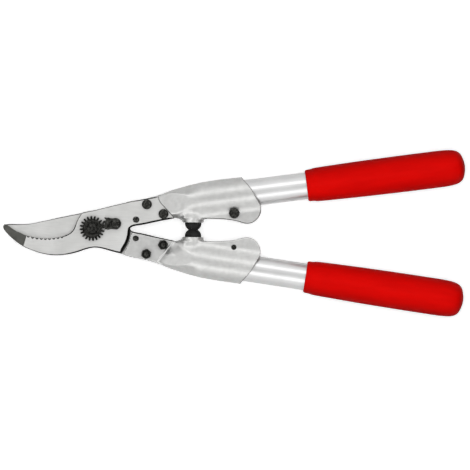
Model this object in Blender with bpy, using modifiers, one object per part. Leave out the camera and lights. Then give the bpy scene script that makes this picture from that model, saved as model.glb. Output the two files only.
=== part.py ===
"""Compact two-hand bypass lopper with round alloy handles.

The tool lies flat: +X runs from the jaws to the handles along its axis of
symmetry, +Y is the side of the arm that carries the hooked counter blade, +Z
is up.  The origin is the centre of the footprint.

Each arm is drawn once, in arm coordinates: pivot at the origin, tang on the
+Y side, its own plate above the contact plane z = 0 and the tongue of its
casting below it.  The second arm is the same set of pieces turned half a turn
about X, so its plate lies under the first one and its casting is the same
casting.
"""
import bpy
import bmesh
import math
from mathutils import Matrix, Vector

MM = 0.001

# ---------------------------------------------------------------- dimensions
PIVOT_X = -0.12211          # pivot from the centre of the footprint
PIVOT_Z = 0.01610           # contact plane of the plates above the base plane
GAP = 0.3 * MM              # clearance between neighbouring pieces

PLATE_T = 4.5 * MM          # steel plates
TONGUE_T = 4.5 * MM         # tongue of the casting
Z_LOW = 0.15 * MM           # contact face of a plate above the contact plane
Z_HIGH = Z_LOW + PLATE_T

TUBE_ANGLE = math.radians(7.93)
TUBE_Y0 = 13.65 * MM        # tube axis above the tool axis at the pivot
TUBE_R = 11.5 * MM
TUBE_WALL = 1.5 * MM
TUBE_START = 96.0 * MM      # along the tube axis
TUBE_END = 314.0 * MM

SOCKET_BORE_R = TUBE_R + GAP
BODY_R = 14.2 * MM          # round body of the casting
# flat facets: rise per unit of X, and height above the contact plane at FACET_X
FACET_X = 57.0 * MM
FACETS = {"top": (0.33, 4.78 * MM), "bottom": (0.275, 5.9 * MM)}
RAMP_SLOPE = 0.75           # rise from the tongue to the bottom facet
LOBE_HALF_T = 7.5 * MM
SLIT_HALF_T = 0.5 * MM

BOLT_SHAFT_R = 2.5 * MM
BOLT_HEAD_R = 4.3 * MM
BOLT_HEAD_T = 2.6 * MM
NUT_AF = 8.0 * MM
NUT_T = 4.0 * MM
FRONT_BOLT = (46.9 * MM, 21.6 * MM)
REAR_BOLT = (61.3 * MM, 13.4 * MM)
LOCATING_PIN = (37.7 * MM, 8.1 * MM)
PIN_R = 2.5 * MM
CLAMP_SCREW = (122.2 * MM, 14.5 * MM)
SEGMENT_SCREW = (20.3 * MM, 4.3 * MM)

PIVOT_SHAFT_R = 4.0 * MM
GEAR_TEETH = 20
GEAR_TIP_R = 10.9 * MM
GEAR_ROOT_R = 8.6 * MM
GEAR_T = 3.7 * MM
GEAR_PHASE = math.radians(95.0)
HUB_R = 7.9 * MM
HUB_RISE = 0.95 * MM

BUMPER_X = 87.0 * MM
BUMPER_BASE_Y = 6.35 * MM
BUMPER_STEM_R = 2.5 * MM
BUMPER_STEM = 6.0 * MM
BOSS_R = 10.0 * MM          # where the boss leaves the round body
BOSS_FACE_R = 8.7 * MM      # at the face that carries the bumper

# ------------------------------------------------------------------ outlines
# millimetres; "c" marks a corner, everything else is a smooth point
TANG = [                                    # shared rear end of both plates
    (27.0, -17.6), (30.0, -12.2), (31.9, -6.2), (32.6, -0.8),
    (33.1, 0.8), (34.0, 1.7), (35.5, 2.3), (37.5, 2.75), (41.0, 3.35),
    (45.0, 4.1), (49.0, 5.0), (53.0, 5.95), (58.0, 7.05), (64.0, 8.3),
    (70.9, 9.6, "c"), (67.9, 13.1), (64.9, 16.6), (62.0, 19.7),
    (59.9, 21.9), (58.1, 24.3), (57.1, 26.5), (56.6, 28.2, "c"),
    (50.0, 27.0), (41.5, 25.2), (32.5, 23.5), (22.5, 21.2),
]
# straight line behind the end of that plate, and how far the end bows forward
# of it: pairs of (distance along the line, bow)
FRONT_START, FRONT_END = (57.0, 28.25), (70.5, 10.75)
FRONT_BOW = [(-40.0, 0.0), (-3.0, 0.0), (0.0, 0.1), (1.2, 0.6), (2.4, 0.95),
             (3.6, 1.15), (5.3, 1.28), (7.1, 1.22), (9.9, 0.9), (14.2, 0.5),
             (18.9, 0.3), (23.6, 0.1), (80.0, 0.0)]
HOOK = [
    (-75.6, 2.5, "c"), (-76.9, 1.0), (-76.7, -1.2), (-75.2, -3.4),
    (-70.2, -8.5), (-65.3, -12.5), (-60.1, -15.9), (-54.8, -18.4),
    (-49.6, -20.3), (-44.4, -21.9), (-39.2, -23.0), (-34.0, -23.6),
    (-28.8, -23.6), (-23.6, -23.1), (-18.4, -22.2), (-13.3, -20.9),
    (-8.1, -19.1), (-3.0, -17.4), (2.2, -16.5), (7.4, -17.0),
    (12.6, -18.3), (17.8, -19.7), (22.4, -20.8), (24.9, -20.8),
    (26.1, -19.7),
] + TANG + [
    (12.0, 18.5), (1.8, 15.8), (-3.4, 14.8), (-9.0, 13.3),
    (-11.0, 10.4), (-13.2, 6.7), (-14.7, 2.6), (-16.1, -0.8),
    (-18.3, -3.5), (-21.2, -5.5), (-26.1, -7.4), (-32.0, -8.6),
    (-40.0, -9.3), (-48.0, -8.8), (-53.0, -7.8), (-57.3, -6.8),
    (-62.0, -4.7), (-66.0, -3.0), (-70.0, -0.5), (-73.0, 1.6),
]
# The last number is the width of the ground bevel at that point.
BLADE = [
    (-74.9, -2.6, "c", 0.0), (-72.6, 0.4, "", 2.6), (-68.0, 4.6, "", 4.4),
    (-62.0, 8.6, "", 6.0), (-55.0, 12.0, "", 7.4), (-47.0, 14.4, "", 8.2),
    (-39.0, 15.3, "", 8.6), (-31.0, 15.0, "", 8.6), (-24.0, 13.6, "", 8.2),
    (-18.5, 11.6, "", 7.0), (-14.8, 10.6, "", 3.0), (-11.5, 12.0, "", 0.0),
    (-7.0, 14.2, "", 0.0), (0.0, 15.5, "", 0.0), (7.0, 16.3, "", 0.0),
    (14.0, 18.2, "", 0.0), (22.5, 20.8, "", 0.0), (32.5, 23.5, "", 0.0),
    (41.5, 25.2, "", 0.0), (50.0, 27.0, "", 0.0), (56.6, 28.2, "c", 0.0),
    (57.1, 26.5, "", 0.0), (58.1, 24.3, "", 0.0), (59.9, 21.9, "", 0.0),
    (62.0, 19.7, "", 0.0), (64.9, 16.6, "", 0.0), (67.9, 13.1, "", 0.0),
    (70.9, 9.6, "c", 0.0), (64.0, 8.3, "", 0.0), (58.0, 7.05, "", 0.0),
    (53.0, 5.95, "", 0.0), (49.0, 5.0, "", 0.0), (45.0, 4.1, "", 0.0),
    (41.0, 3.35, "", 0.0), (37.5, 2.75, "", 0.0), (35.5, 2.3, "", 0.0),
    (34.0, 1.7, "", 0.0), (33.1, 0.8, "", 0.0), (32.6, -0.8, "", 0.0),
    (31.9, -6.2, "", 0.0), (30.0, -12.2, "", 0.0), (27.0, -17.6, "", 0.0),
    (25.0, -19.2, "", 0.0), (20.0, -18.8, "", 0.0), (10.0, -16.8, "", 0.0),
    (0.0, -14.6, "", 0.0),
    (-9.0, -12.8, "", 0.0), (-18.9, -11.0, "", 0.0), (-29.2, -8.8, "", 0.0),
    (-39.6, -6.4, "", 0.0), (-46.0, -4.9, "", 0.0), (-51.0, -3.7, "", 0.0),
    (-56.5, -3.1, "", 0.0), (-65.5, -2.85, "", 0.0),
    (-70.0, -2.95, "", 0.0),
]
TONGUE = [
    (34.0, 3.1, "c"), (70.5, 10.4, "c"), (76.0, 12.0, "c"),
    (74.0, 33.0, "c"), (59.0, 29.2, "c"),
    (50.5, 27.6), (42.0, 25.7), (33.5, 24.0), (28.5, 22.5),
    (27.4, 21.2), (29.6, 16.6), (31.6, 11.6), (33.0, 6.6),
]
LOBE = [
    (91.0, 20.0, "c"), (90.0, 12.0, "c"), (95.0, 9.9), (104.0, 9.6),
    (112.5, 9.3), (118.0, 8.8), (123.0, 7.9), (128.0, 6.6),
    (133.0, 5.8), (137.5, 6.4), (141.2, 8.8), (143.8, 12.2),
    (145.1, 16.5), (145.3, 21.2, "c"), (138.0, 33.0, "c"),
]
SEGMENT_TAIL = [
    (9.9, 6.8), (11.0, 6.8), (11.6, 7.4), (11.5, 8.1), (10.8, 8.6),
    (10.3, 9.1), (10.8, 9.7), (12.5, 9.3), (13.9, 9.6), (15.4, 9.1),
    (18.0, 9.0), (20.2, 9.3), (22.3, 8.8), (24.0, 7.4), (24.9, 5.2),
    (24.7, 2.8), (23.5, 0.8), (21.4, -0.5), (19.0, -0.5), (16.6, -0.3),
    (14.0, -0.9), (12.5, -0.7), (11.4, -0.45),
]
NOTCH_PITCH = 3.55 * MM
NOTCHES = [(-55.1, -7.4), (-51.4, -8.3), (-47.6, -8.9), (-43.8, -9.2),
           (-40.3, -9.3), (-36.8, -9.2), (-33.1, -8.8), (-29.5, -8.3),
           (-26.1, -7.5)]
NOTCH_R = 0.85 * MM
NOSE_LINE = ((-56.6, -7.0), (-59.2, -16.2))   # where the ground nose begins
NOSE_SLOPE = 0.15

# turned profiles: distance along the axis, radius (mm)
GRIP_OUTSIDE = [
    (186.2, 12.9), (187.0, 13.6), (191.2, 13.9), (194.0, 14.5),
    (212.0, 15.05), (234.0, 15.5), (262.0, 15.85), (300.0, 16.1),
    (308.0, 15.85), (314.0, 15.1), (318.0, 13.8), (321.0, 11.0),
    (323.0, 6.0), (324.3, 0.0),
]
BUMPER_OUTSIDE = [
    (0.0, 6.6), (0.4, 6.9), (1.4, 6.9), (2.6, 6.65), (3.8, 6.1),
    (4.8, 5.3), (5.7, 4.4), (6.2, 3.75), (6.35, 3.4), (6.35, 0.0),
]


# ------------------------------------------------------------------- helpers
for old in list(bpy.data.objects):
    bpy.data.objects.remove(old, do_unlink=True)

parts = bpy.data.collections.new("lopper")
cutters = bpy.data.collections.new("cutters")
bpy.context.scene.collection.children.link(parts)
bpy.context.scene.collection.children.link(cutters)


def material(name, colour, roughness, metallic):
    mat = bpy.data.materials.new(name)
    mat.use_nodes = True
    shader = mat.node_tree.nodes["Principled BSDF"]
    shader.inputs["Base Color"].default_value = (*colour, 1.0)
    shader.inputs["Roughness"].default_value = roughness
    shader.inputs["Metallic"].default_value = metallic
    mat.diffuse_color = (*colour, 1.0)
    return mat


def steel(name):
    return material(name, (0.60, 0.60, 0.58), 0.38, 1.0)


def cast(name):
    return material(name, (0.72, 0.72, 0.71), 0.45, 1.0)


def alloy(name):
    return material(name, (0.82, 0.82, 0.83), 0.30, 1.0)


def black_oxide(name):
    return material(name, (0.022, 0.022, 0.022), 0.45, 0.6)


def rubber(name):
    return material(name, (0.015, 0.015, 0.015), 0.70, 0.0)


def red_grip(name):
    return material(name, (0.62, 0.004, 0.002), 0.32, 0.0)


def link(obj, parent=None, mat=None, cutter=False):
    (cutters if cutter else parts).objects.link(obj)
    if parent is not None:
        obj.parent = parent
    if mat is not None:
        obj.data.materials.clear()
        obj.data.materials.append(mat)
    if cutter:
        obj.hide_render = True
        obj.display_type = "WIRE"
    return obj


def smooth(obj, angle=35.0):
    obj.data.shade_smooth()
    obj.data.set_sharp_from_angle(angle=math.radians(angle))


def round_points(centre, radius, count, phase=0.0):
    return [(centre[0] + radius * math.cos(phase + 2 * math.pi * i / count),
             centre[1] + radius * math.sin(phase + 2 * math.pi * i / count))
            for i in range(count)]


def smooth_outline(points, steps=4):
    """Catmull-Rom curve through the points; corners stay sharp.

    Every point may carry more numbers after its corner mark, and these are
    blended along with the position.
    """
    rows = []
    for point in points:
        corner = len(point) > 2 and point[2] == "c"
        rows.append((Vector(point[:2]), corner,
                     point[3] if len(point) > 3 else 0.0))
    count = len(rows)
    out = []
    for i in range(count):
        p0, p1, p2, p3 = (rows[(i + k) % count] for k in (-1, 0, 1, 2))
        before = p1[0] * 2 - p2[0] if p1[1] else p0[0]
        after = p2[0] * 2 - p1[0] if p2[1] else p3[0]
        if p1[1] and p2[1]:
            out.append((p1[0].x, p1[0].y, p1[2]))
            continue
        # centripetal spacing keeps unevenly spaced points from overshooting
        t1 = max((p1[0] - before).length, 1e-6) ** 0.5
        t2 = t1 + max((p2[0] - p1[0]).length, 1e-6) ** 0.5
        t3 = t2 + max((after - p2[0]).length, 1e-6) ** 0.5
        for k in range(steps):
            u = k / steps
            t = t1 + (t2 - t1) * u
            a1 = before * ((t1 - t) / t1) + p1[0] * (t / t1)
            a2 = (p1[0] * ((t2 - t) / (t2 - t1))
                  + p2[0] * ((t - t1) / (t2 - t1)))
            a3 = (p2[0] * ((t3 - t) / (t3 - t2))
                  + after * ((t - t2) / (t3 - t2)))
            b1 = a1 * ((t2 - t) / t2) + a2 * (t / t2)
            b2 = (a2 * ((t3 - t) / (t3 - t1))
                  + a3 * ((t - t1) / (t3 - t1)))
            q = b1 * ((t2 - t) / (t2 - t1)) + b2 * ((t - t1) / (t2 - t1))
            out.append((q.x, q.y, p1[2] * (1 - u) + p2[2] * u))
    return out


def flat_plate(name, outline, holes, z_mid, half_t, parent=None, mat=None,
               cutter=False):
    """A 2D curve filled and extruded, then turned into a welded mesh."""
    curve = bpy.data.curves.new(name, "CURVE")
    curve.dimensions = "2D"
    curve.fill_mode = "BOTH"
    curve.extrude = half_t
    for ring in [outline] + holes:
        spline = curve.splines.new("POLY")
        spline.points.add(len(ring) - 1)
        for point, (x, y) in zip(spline.points, ring):
            point.co = (x, y, 0.0, 1.0)
        spline.use_cyclic_u = True
    temp = bpy.data.objects.new(name + "_outline", curve)
    bpy.context.scene.collection.objects.link(temp)
    bpy.context.view_layer.update()
    evaluated = temp.evaluated_get(bpy.context.evaluated_depsgraph_get())
    mesh = bpy.data.meshes.new_from_object(evaluated)
    bpy.data.objects.remove(temp, do_unlink=True)
    bpy.data.curves.remove(curve)
    mesh.name = name
    bm = bmesh.new()
    bm.from_mesh(mesh)
    bmesh.ops.remove_doubles(bm, verts=bm.verts, dist=1e-6)
    bmesh.ops.translate(bm, vec=(0, 0, z_mid), verts=bm.verts)
    bmesh.ops.recalc_face_normals(bm, faces=bm.faces)
    bm.to_mesh(mesh)
    bm.free()
    obj = bpy.data.objects.new(name, mesh)
    return link(obj, parent, mat, cutter)


def turned(name, profile, segments, parent=None, mat=None, cutter=False,
           location=(0, 0, 0), rotation=(0, 0, 0)):
    """Screw a profile of (radius, height) points about its own Z axis.

    The profile lists the outer side from top to bottom; a profile that starts
    and ends off the axis is closed into a ring.
    """
    mesh = bpy.data.meshes.new(name)
    verts = [(r, 0.0, z) for r, z in profile]
    edges = [(i, i + 1) for i in range(len(verts) - 1)]
    if profile[0][0] > 0 or profile[-1][0] > 0:
        edges.append((len(verts) - 1, 0))
    mesh.from_pydata(verts, edges, [])
    obj = bpy.data.objects.new(name, mesh)
    screw = obj.modifiers.new("Turn", "SCREW")
    screw.axis = "Z"
    screw.angle = 2 * math.pi
    screw.steps = segments
    screw.render_steps = segments
    screw.use_merge_vertices = True
    screw.merge_threshold = 1e-6
    screw.use_smooth_shade = True
    link(obj, parent, mat, cutter)
    obj.location = location
    obj.rotation_euler = rotation
    return obj


def freeze(obj):
    """Replace the object's modifiers by the mesh they make."""
    bpy.context.view_layer.update()
    evaluated = obj.evaluated_get(bpy.context.evaluated_depsgraph_get())
    mesh = bpy.data.meshes.new_from_object(evaluated)
    old = obj.data
    obj.modifiers.clear()
    obj.data = mesh
    bpy.data.meshes.remove(old)
    return obj


def boolean(obj, cutter, operation="DIFFERENCE"):
    mod = obj.modifiers.new(operation.title(), "BOOLEAN")
    mod.operation = operation
    mod.solver = "EXACT"
    mod.object = cutter
    return mod


def round_cutter(name, radius, centre, z0, z1, segments=24, parent=None):
    """Upright cylinder, for holes along Z."""
    mesh = bpy.data.meshes.new(name)
    bm = bmesh.new()
    bmesh.ops.create_cone(
        bm, cap_ends=True, segments=segments, radius1=radius, radius2=radius,
        depth=z1 - z0,
        matrix=Matrix.Translation((centre[0], centre[1], (z0 + z1) / 2)))
    bm.to_mesh(mesh)
    bm.free()
    return link(bpy.data.objects.new(name, mesh), parent, None, True)


def box_cutter(name, size, matrix, parent=None):
    mesh = bpy.data.meshes.new(name)
    bm = bmesh.new()
    bmesh.ops.create_cube(bm, size=1.0)
    bmesh.ops.scale(bm, vec=size, verts=bm.verts)
    bmesh.ops.transform(bm, matrix=matrix, verts=bm.verts)
    if matrix.determinant() < 0:
        bmesh.ops.reverse_faces(bm, faces=bm.faces)
    bm.to_mesh(mesh)
    bm.free()
    return link(bpy.data.objects.new(name, mesh), parent, None, True)


def hex_prism(name, across_flats, z0, z1, centre, turn, parent, mat,
              segments=6):
    mesh = bpy.data.meshes.new(name)
    bm = bmesh.new()
    radius = across_flats / 2 / math.cos(math.pi / segments)
    bmesh.ops.create_cone(
        bm, cap_ends=True, segments=segments, radius1=radius, radius2=radius,
        depth=z1 - z0,
        matrix=Matrix.Translation((centre[0], centre[1], (z0 + z1) / 2))
        @ Matrix.Rotation(turn, 4, "Z"))
    bm.to_mesh(mesh)
    bm.free()
    return link(bpy.data.objects.new(name, mesh), parent, mat)


def scaled(points):
    return [(p[0] * MM, p[1] * MM) for p in points]


# --------------------------------------------------------------- coordinates
arms = {}
for side, turn in (("upper", 0.0), ("lower", math.pi)):
    empty = bpy.data.objects.new(side + "_arm", None)
    empty.location = (PIVOT_X, 0.0, PIVOT_Z)
    empty.rotation_euler = (turn, 0.0, 0.0)
    parts.objects.link(empty)
    arms[side] = empty

# the tube axis: local Z of a turned piece points along it
tube_dir = Vector((math.cos(TUBE_ANGLE), math.sin(TUBE_ANGLE), 0.0))
tube_out = Vector((-math.sin(TUBE_ANGLE), math.cos(TUBE_ANGLE), 0.0))
tube_zero = Vector((0.0, TUBE_Y0, 0.0))
tube_turn = Matrix((tube_out, Vector((0, 0, 1)), tube_dir)).transposed()
tube_euler = tube_turn.to_euler()


def on_tube(s, v=0.0, z=0.0):
    """Point at distance s along the tube axis, v to its outer side."""
    return tube_zero + tube_dir * s + tube_out * v + Vector((0, 0, z))


# --------------------------------------------------------------------- holes
PLATE_HOLES = [
    round_points((0, 0), PIVOT_SHAFT_R + GAP, 32),
    round_points(FRONT_BOLT, BOLT_SHAFT_R + GAP, 20),
    round_points(REAR_BOLT, BOLT_SHAFT_R + GAP, 20),
    round_points(LOCATING_PIN, PIN_R + GAP, 20),
]


# ------------------------------------------------------------- counter blade
def make_counter_blade(parent):
    outline = scaled(smooth_outline(HOOK, 2))
    holes = PLATE_HOLES + [round_points(SEGMENT_SCREW, 2.0 * MM + GAP, 16)]
    plate = flat_plate("counter_blade", outline, holes,
                       Z_LOW + PLATE_T / 2, PLATE_T / 2, parent,
                       steel("counter_blade_steel"))
    # sap notches along the biting edge
    for i, (x, y) in enumerate(NOTCHES):
        cut = round_cutter("notch_%d" % (i + 1), NOTCH_R, (x * MM, y * MM),
                           -1 * MM, 6 * MM, 8, parent)
        boolean(plate, cut)
    # ground nose: the top face falls away towards the tip
    a = Vector((NOSE_LINE[0][0], NOSE_LINE[0][1], 0)) * MM
    b = Vector((NOSE_LINE[1][0], NOSE_LINE[1][1], 0)) * MM
    along = (b - a).normalized()
    ahead = Vector((along.y, -along.x, 0))
    if ahead.x > 0:
        ahead = -ahead
    forward = (ahead + Vector((0, 0, -NOSE_SLOPE))).normalized()
    up = along.cross(forward)
    if up.z < 0:
        up = -up
    frame = Matrix((forward, up.cross(forward), up)).transposed().to_4x4()
    start = (a + b) / 2 + Vector((0, 0, Z_HIGH))
    frame.translation = start + forward * 20 * MM + up * 10 * MM
    cut = box_cutter("nose_cut", (40 * MM, 60 * MM, 20 * MM), frame, parent)
    boolean(plate, cut)
    freeze(plate)
    smooth(plate, 30)
    return plate


# ------------------------------------------------------------- cutting blade
def make_cutting_blade(parent):
    """Loft between the sharp flat side and the bevelled outer side."""
    rows = smooth_outline(BLADE, 2)
    points = [Vector((x * MM, y * MM)) for x, y, _ in rows]
    widths = [w * MM for _, _, w in rows]
    count = len(points)
    inner = []
    for i in range(count):
        tangent = (points[(i + 1) % count] - points[i - 1]).normalized()
        normal = Vector((tangent.y, -tangent.x))      # into the material
        inner.append(points[i] + normal * widths[i])
    bm = bmesh.new()
    land = 0.25 * MM
    rings = []
    for flat, z in ((points, Z_LOW), (points, Z_LOW + land), (inner, Z_HIGH)):
        rings.append([bm.verts.new((p.x, p.y, z)) for p in flat])
    for low, high in ((rings[0], rings[1]), (rings[1], rings[2])):
        for i in range(count):
            j = (i + 1) % count
            bm.faces.new((low[i], low[j], high[j], high[i]))
    bm.faces.new(rings[0])
    bm.faces.new(list(reversed(rings[2])))
    bmesh.ops.recalc_face_normals(bm, faces=bm.faces)
    mesh = bpy.data.meshes.new("cutting_blade")
    bm.to_mesh(mesh)
    bm.free()
    blade = link(bpy.data.objects.new("cutting_blade", mesh), parent,
                 steel("cutting_blade_steel"))
    spots = (((0, 0), PIVOT_SHAFT_R, 32), (FRONT_BOLT, BOLT_SHAFT_R, 20),
             (REAR_BOLT, BOLT_SHAFT_R, 20), (LOCATING_PIN, PIN_R, 20))
    for i, (centre, radius, segments) in enumerate(spots):
        boolean(blade, round_cutter("blade_hole_%d" % (i + 1), radius + GAP,
                                    centre, -1 * MM, 6 * MM, segments, parent))
    freeze(blade)
    smooth(blade, 20)
    return blade


# ------------------------------------------------------------------- casting
def body_radius(s, phi):
    """Radius of the round body: full inside, pulled in outside at the front."""
    t = min(max((s - 55.0) / 46.0, 0.0), 1.0)
    outer = 5.2 + (14.25 - 5.2) * math.sin(t * math.pi / 2) ** 0.9
    u = min(max((s - 60.0) / 18.0, 0.0), 1.0)
    inner = 11.6 + (14.2 - 11.6) * u * u * (3 - 2 * u)
    # a shoulder where the body leaves the tang
    outer += 0.75 * (1 - min(max((s - 66.0) / 9.0, 0.0), 1.0))
    outer -= 0.2 * max(1 - abs(s - 88.0) / 9.0, 0.0)
    inner += 0.5 * max(1 - abs(s - 72.0) / 8.0, 0.0)
    w = 0.5 + 0.5 * math.cos(phi)
    w = w * w * (3 - 2 * w)
    return (inner + (outer - inner) * w) * MM


def make_casting(side, parent):
    name = side + "_casting"
    stations = [54, 58, 62, 67, 72, 78, 84, 92, 101, 148]
    count = 36
    bm = bmesh.new()
    rings = []
    for s in stations:
        ring = []
        for k in range(count):
            phi = 2 * math.pi * k / count
            r = body_radius(s, phi)
            ring.append(bm.verts.new(on_tube(s * MM, r * math.cos(phi),
                                             r * math.sin(phi))))
        rings.append(ring)
    for low, high in zip(rings, rings[1:]):
        for k in range(count):
            j = (k + 1) % count
            bm.faces.new((low[k], low[j], high[j], high[k]))
    bm.faces.new(rings[0])
    bm.faces.new(list(reversed(rings[-1])))
    bmesh.ops.recalc_face_normals(bm, faces=bm.faces)
    mesh = bpy.data.meshes.new(name)
    bm.to_mesh(mesh)
    bm.free()
    body = link(bpy.data.objects.new(name, mesh), parent,
                cast(side + "_casting_alloy"))

    # diagonal front face, against which the plate's end lies
    a = Vector((*FRONT_START, 0)) * MM
    b = Vector((*FRONT_END, 0)) * MM
    along = (b - a).normalized()
    away = Vector((-along.y, along.x, 0))
    if away.x < 0:
        away = -away
    edge = [a + along * (q * MM) - away * (bow * MM) for q, bow in FRONT_BOW]
    edge += [edge[-1] - away * 60 * MM, edge[0] - away * 60 * MM]
    boolean(body, flat_plate(side + "_front_cut", [(p.x, p.y) for p in edge],
                             [], 0.0, 30 * MM, parent, None, True))
    # on the tongue's side it leans back into a ramp
    up = Vector((-RAMP_SLOPE * away.x, -RAMP_SLOPE * away.y, -1)).normalized()
    frame = Matrix((along, up.cross(along), up)).transposed().to_4x4()
    frame.translation = a + Vector((0, 0, -Z_HIGH)) + up * 20 * MM
    boolean(body, box_cutter(side + "_ramp_cut",
                             (160 * MM, 160 * MM, 40 * MM), frame, parent))
    # flat facets that ramp up from the tang to the round body, both sides
    for label, (slope, height) in FACETS.items():
        up = Vector((-slope, 0, 1)).normalized()
        ahead = Vector((1, 0, slope)).normalized()
        across = up.cross(ahead)
        frame = Matrix((ahead, across, up)).transposed().to_4x4()
        frame.translation = Vector((FACET_X, 20 * MM, height)) + up * 20 * MM
        if label == "bottom":
            frame = Matrix.Diagonal((1, 1, -1, 1)) @ frame
        cut = box_cutter("%s_%s_facet" % (side, label),
                         (90 * MM, 120 * MM, 40 * MM), frame, parent)
        boolean(body, cut)

    tongue = flat_plate(side + "_tongue", scaled(smooth_outline(TONGUE, 2)),
                        [], -(Z_LOW + TONGUE_T / 2), TONGUE_T / 2, parent,
                        None, True)
    boolean(body, tongue, "UNION")
    lobe = flat_plate(side + "_lobe", scaled(smooth_outline(LOBE, 2)), [],
                      0.0, LOBE_HALF_T, parent, None, True)
    boolean(body, lobe, "UNION")
    # slanted mouth of the socket
    a = Vector((127.9, 45.9, 0)) * MM
    b = Vector((145.2, 22.0, 0)) * MM
    along = (b - a).normalized()
    away = Vector((-along.y, along.x, 0))
    if away.x < 0:
        away = -away
    frame = Matrix((away, along, Vector((0, 0, 1)))).transposed().to_4x4()
    frame.translation = (a + b) / 2 + away * 30 * MM
    boolean(body, box_cutter(side + "_mouth_cut",
                             (60 * MM, 120 * MM, 60 * MM), frame, parent))
    boss = turned(side + "_boss", [
        (0.0, 22 * MM), (8.6 * MM, 22 * MM), (9.6 * MM, 13.0 * MM),
        (BOSS_R, 9.6 * MM), (BOSS_FACE_R + 0.5 * MM, BUMPER_BASE_Y + 0.6 * MM),
        (BOSS_FACE_R, BUMPER_BASE_Y), (0.0, BUMPER_BASE_Y)],
        28, parent, None, True, location=(BUMPER_X, 0, 0),
        rotation=(-math.pi / 2, 0, 0))
    freeze(boss)
    boolean(body, boss, "UNION")

    # bores
    socket = turned(side + "_socket", [
        (0.0, 190 * MM), (SOCKET_BORE_R, 190 * MM),
        (SOCKET_BORE_R, TUBE_START - GAP), (0.0, TUBE_START - GAP)],
        32, parent, None, True, location=tube_zero, rotation=tube_euler)
    freeze(socket)
    boolean(body, socket)
    slit_frame = Matrix((tube_dir, tube_out, Vector((0, 0, 1)))
                        ).transposed().to_4x4()
    slit_frame.translation = on_tube(130 * MM, -20 * MM)
    boolean(body, box_cutter(side + "_clamp_slit",
                             (52 * MM, 24 * MM, 2 * SLIT_HALF_T), slit_frame,
                             parent))
    for label, centre, radius in (("front", FRONT_BOLT, BOLT_SHAFT_R),
                                  ("rear", REAR_BOLT, BOLT_SHAFT_R),
                                  ("pin", LOCATING_PIN, PIN_R),
                                  ("clamp", CLAMP_SCREW, BOLT_SHAFT_R)):
        boolean(body, round_cutter("%s_casting_hole_%s" % (side, label),
                                   radius + GAP, centre, -20 * MM, 20 * MM,
                                   20, parent))
    stem = turned(side + "_stem_hole", [
        (0.0, BUMPER_BASE_Y + BUMPER_STEM + GAP),
        (BUMPER_STEM_R + GAP, BUMPER_BASE_Y + BUMPER_STEM + GAP),
        (BUMPER_STEM_R + GAP, 0.0), (0.0, 0.0)], 16, parent, None, True,
        location=(BUMPER_X, 0, 0), rotation=(-math.pi / 2, 0, 0))
    freeze(stem)
    boolean(body, stem)
    freeze(body)
    smooth(body, 30)
    return body


# ------------------------------------------------------- tube, grip, bumper
def make_handle(side, parent):
    turned(side + "_tube", [
        (TUBE_R, TUBE_END), (TUBE_R, TUBE_START),
        (TUBE_R - TUBE_WALL, TUBE_START), (TUBE_R - TUBE_WALL, TUBE_END)],
        32, parent, alloy(side + "_tube_alloy"), location=tube_zero,
        rotation=tube_euler)
    outside = [(r * MM, s * MM) for s, r in reversed(GRIP_OUTSIDE)]
    bore = TUBE_R + GAP
    inside = [(bore, GRIP_OUTSIDE[0][0] * MM), (bore, TUBE_END + GAP),
              (0.0, TUBE_END + GAP)]
    turned(side + "_grip", outside + inside, 36, parent,
           red_grip(side + "_grip_pvc"), location=tube_zero,
           rotation=tube_euler)
    base = BUMPER_BASE_Y - GAP
    stem_r = BUMPER_STEM_R
    profile = [(0.0, base + BUMPER_STEM), (stem_r, base + BUMPER_STEM),
               (stem_r, base)]
    profile += [(r * MM, base - d * MM * (base - 0.15 * MM) / (6.35 * MM))
                for d, r in BUMPER_OUTSIDE]
    turned(side + "_bumper", profile, 20, parent,
           rubber(side + "_bumper_rubber"), location=(BUMPER_X, 0, 0),
           rotation=(-math.pi / 2, 0, 0))


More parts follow.
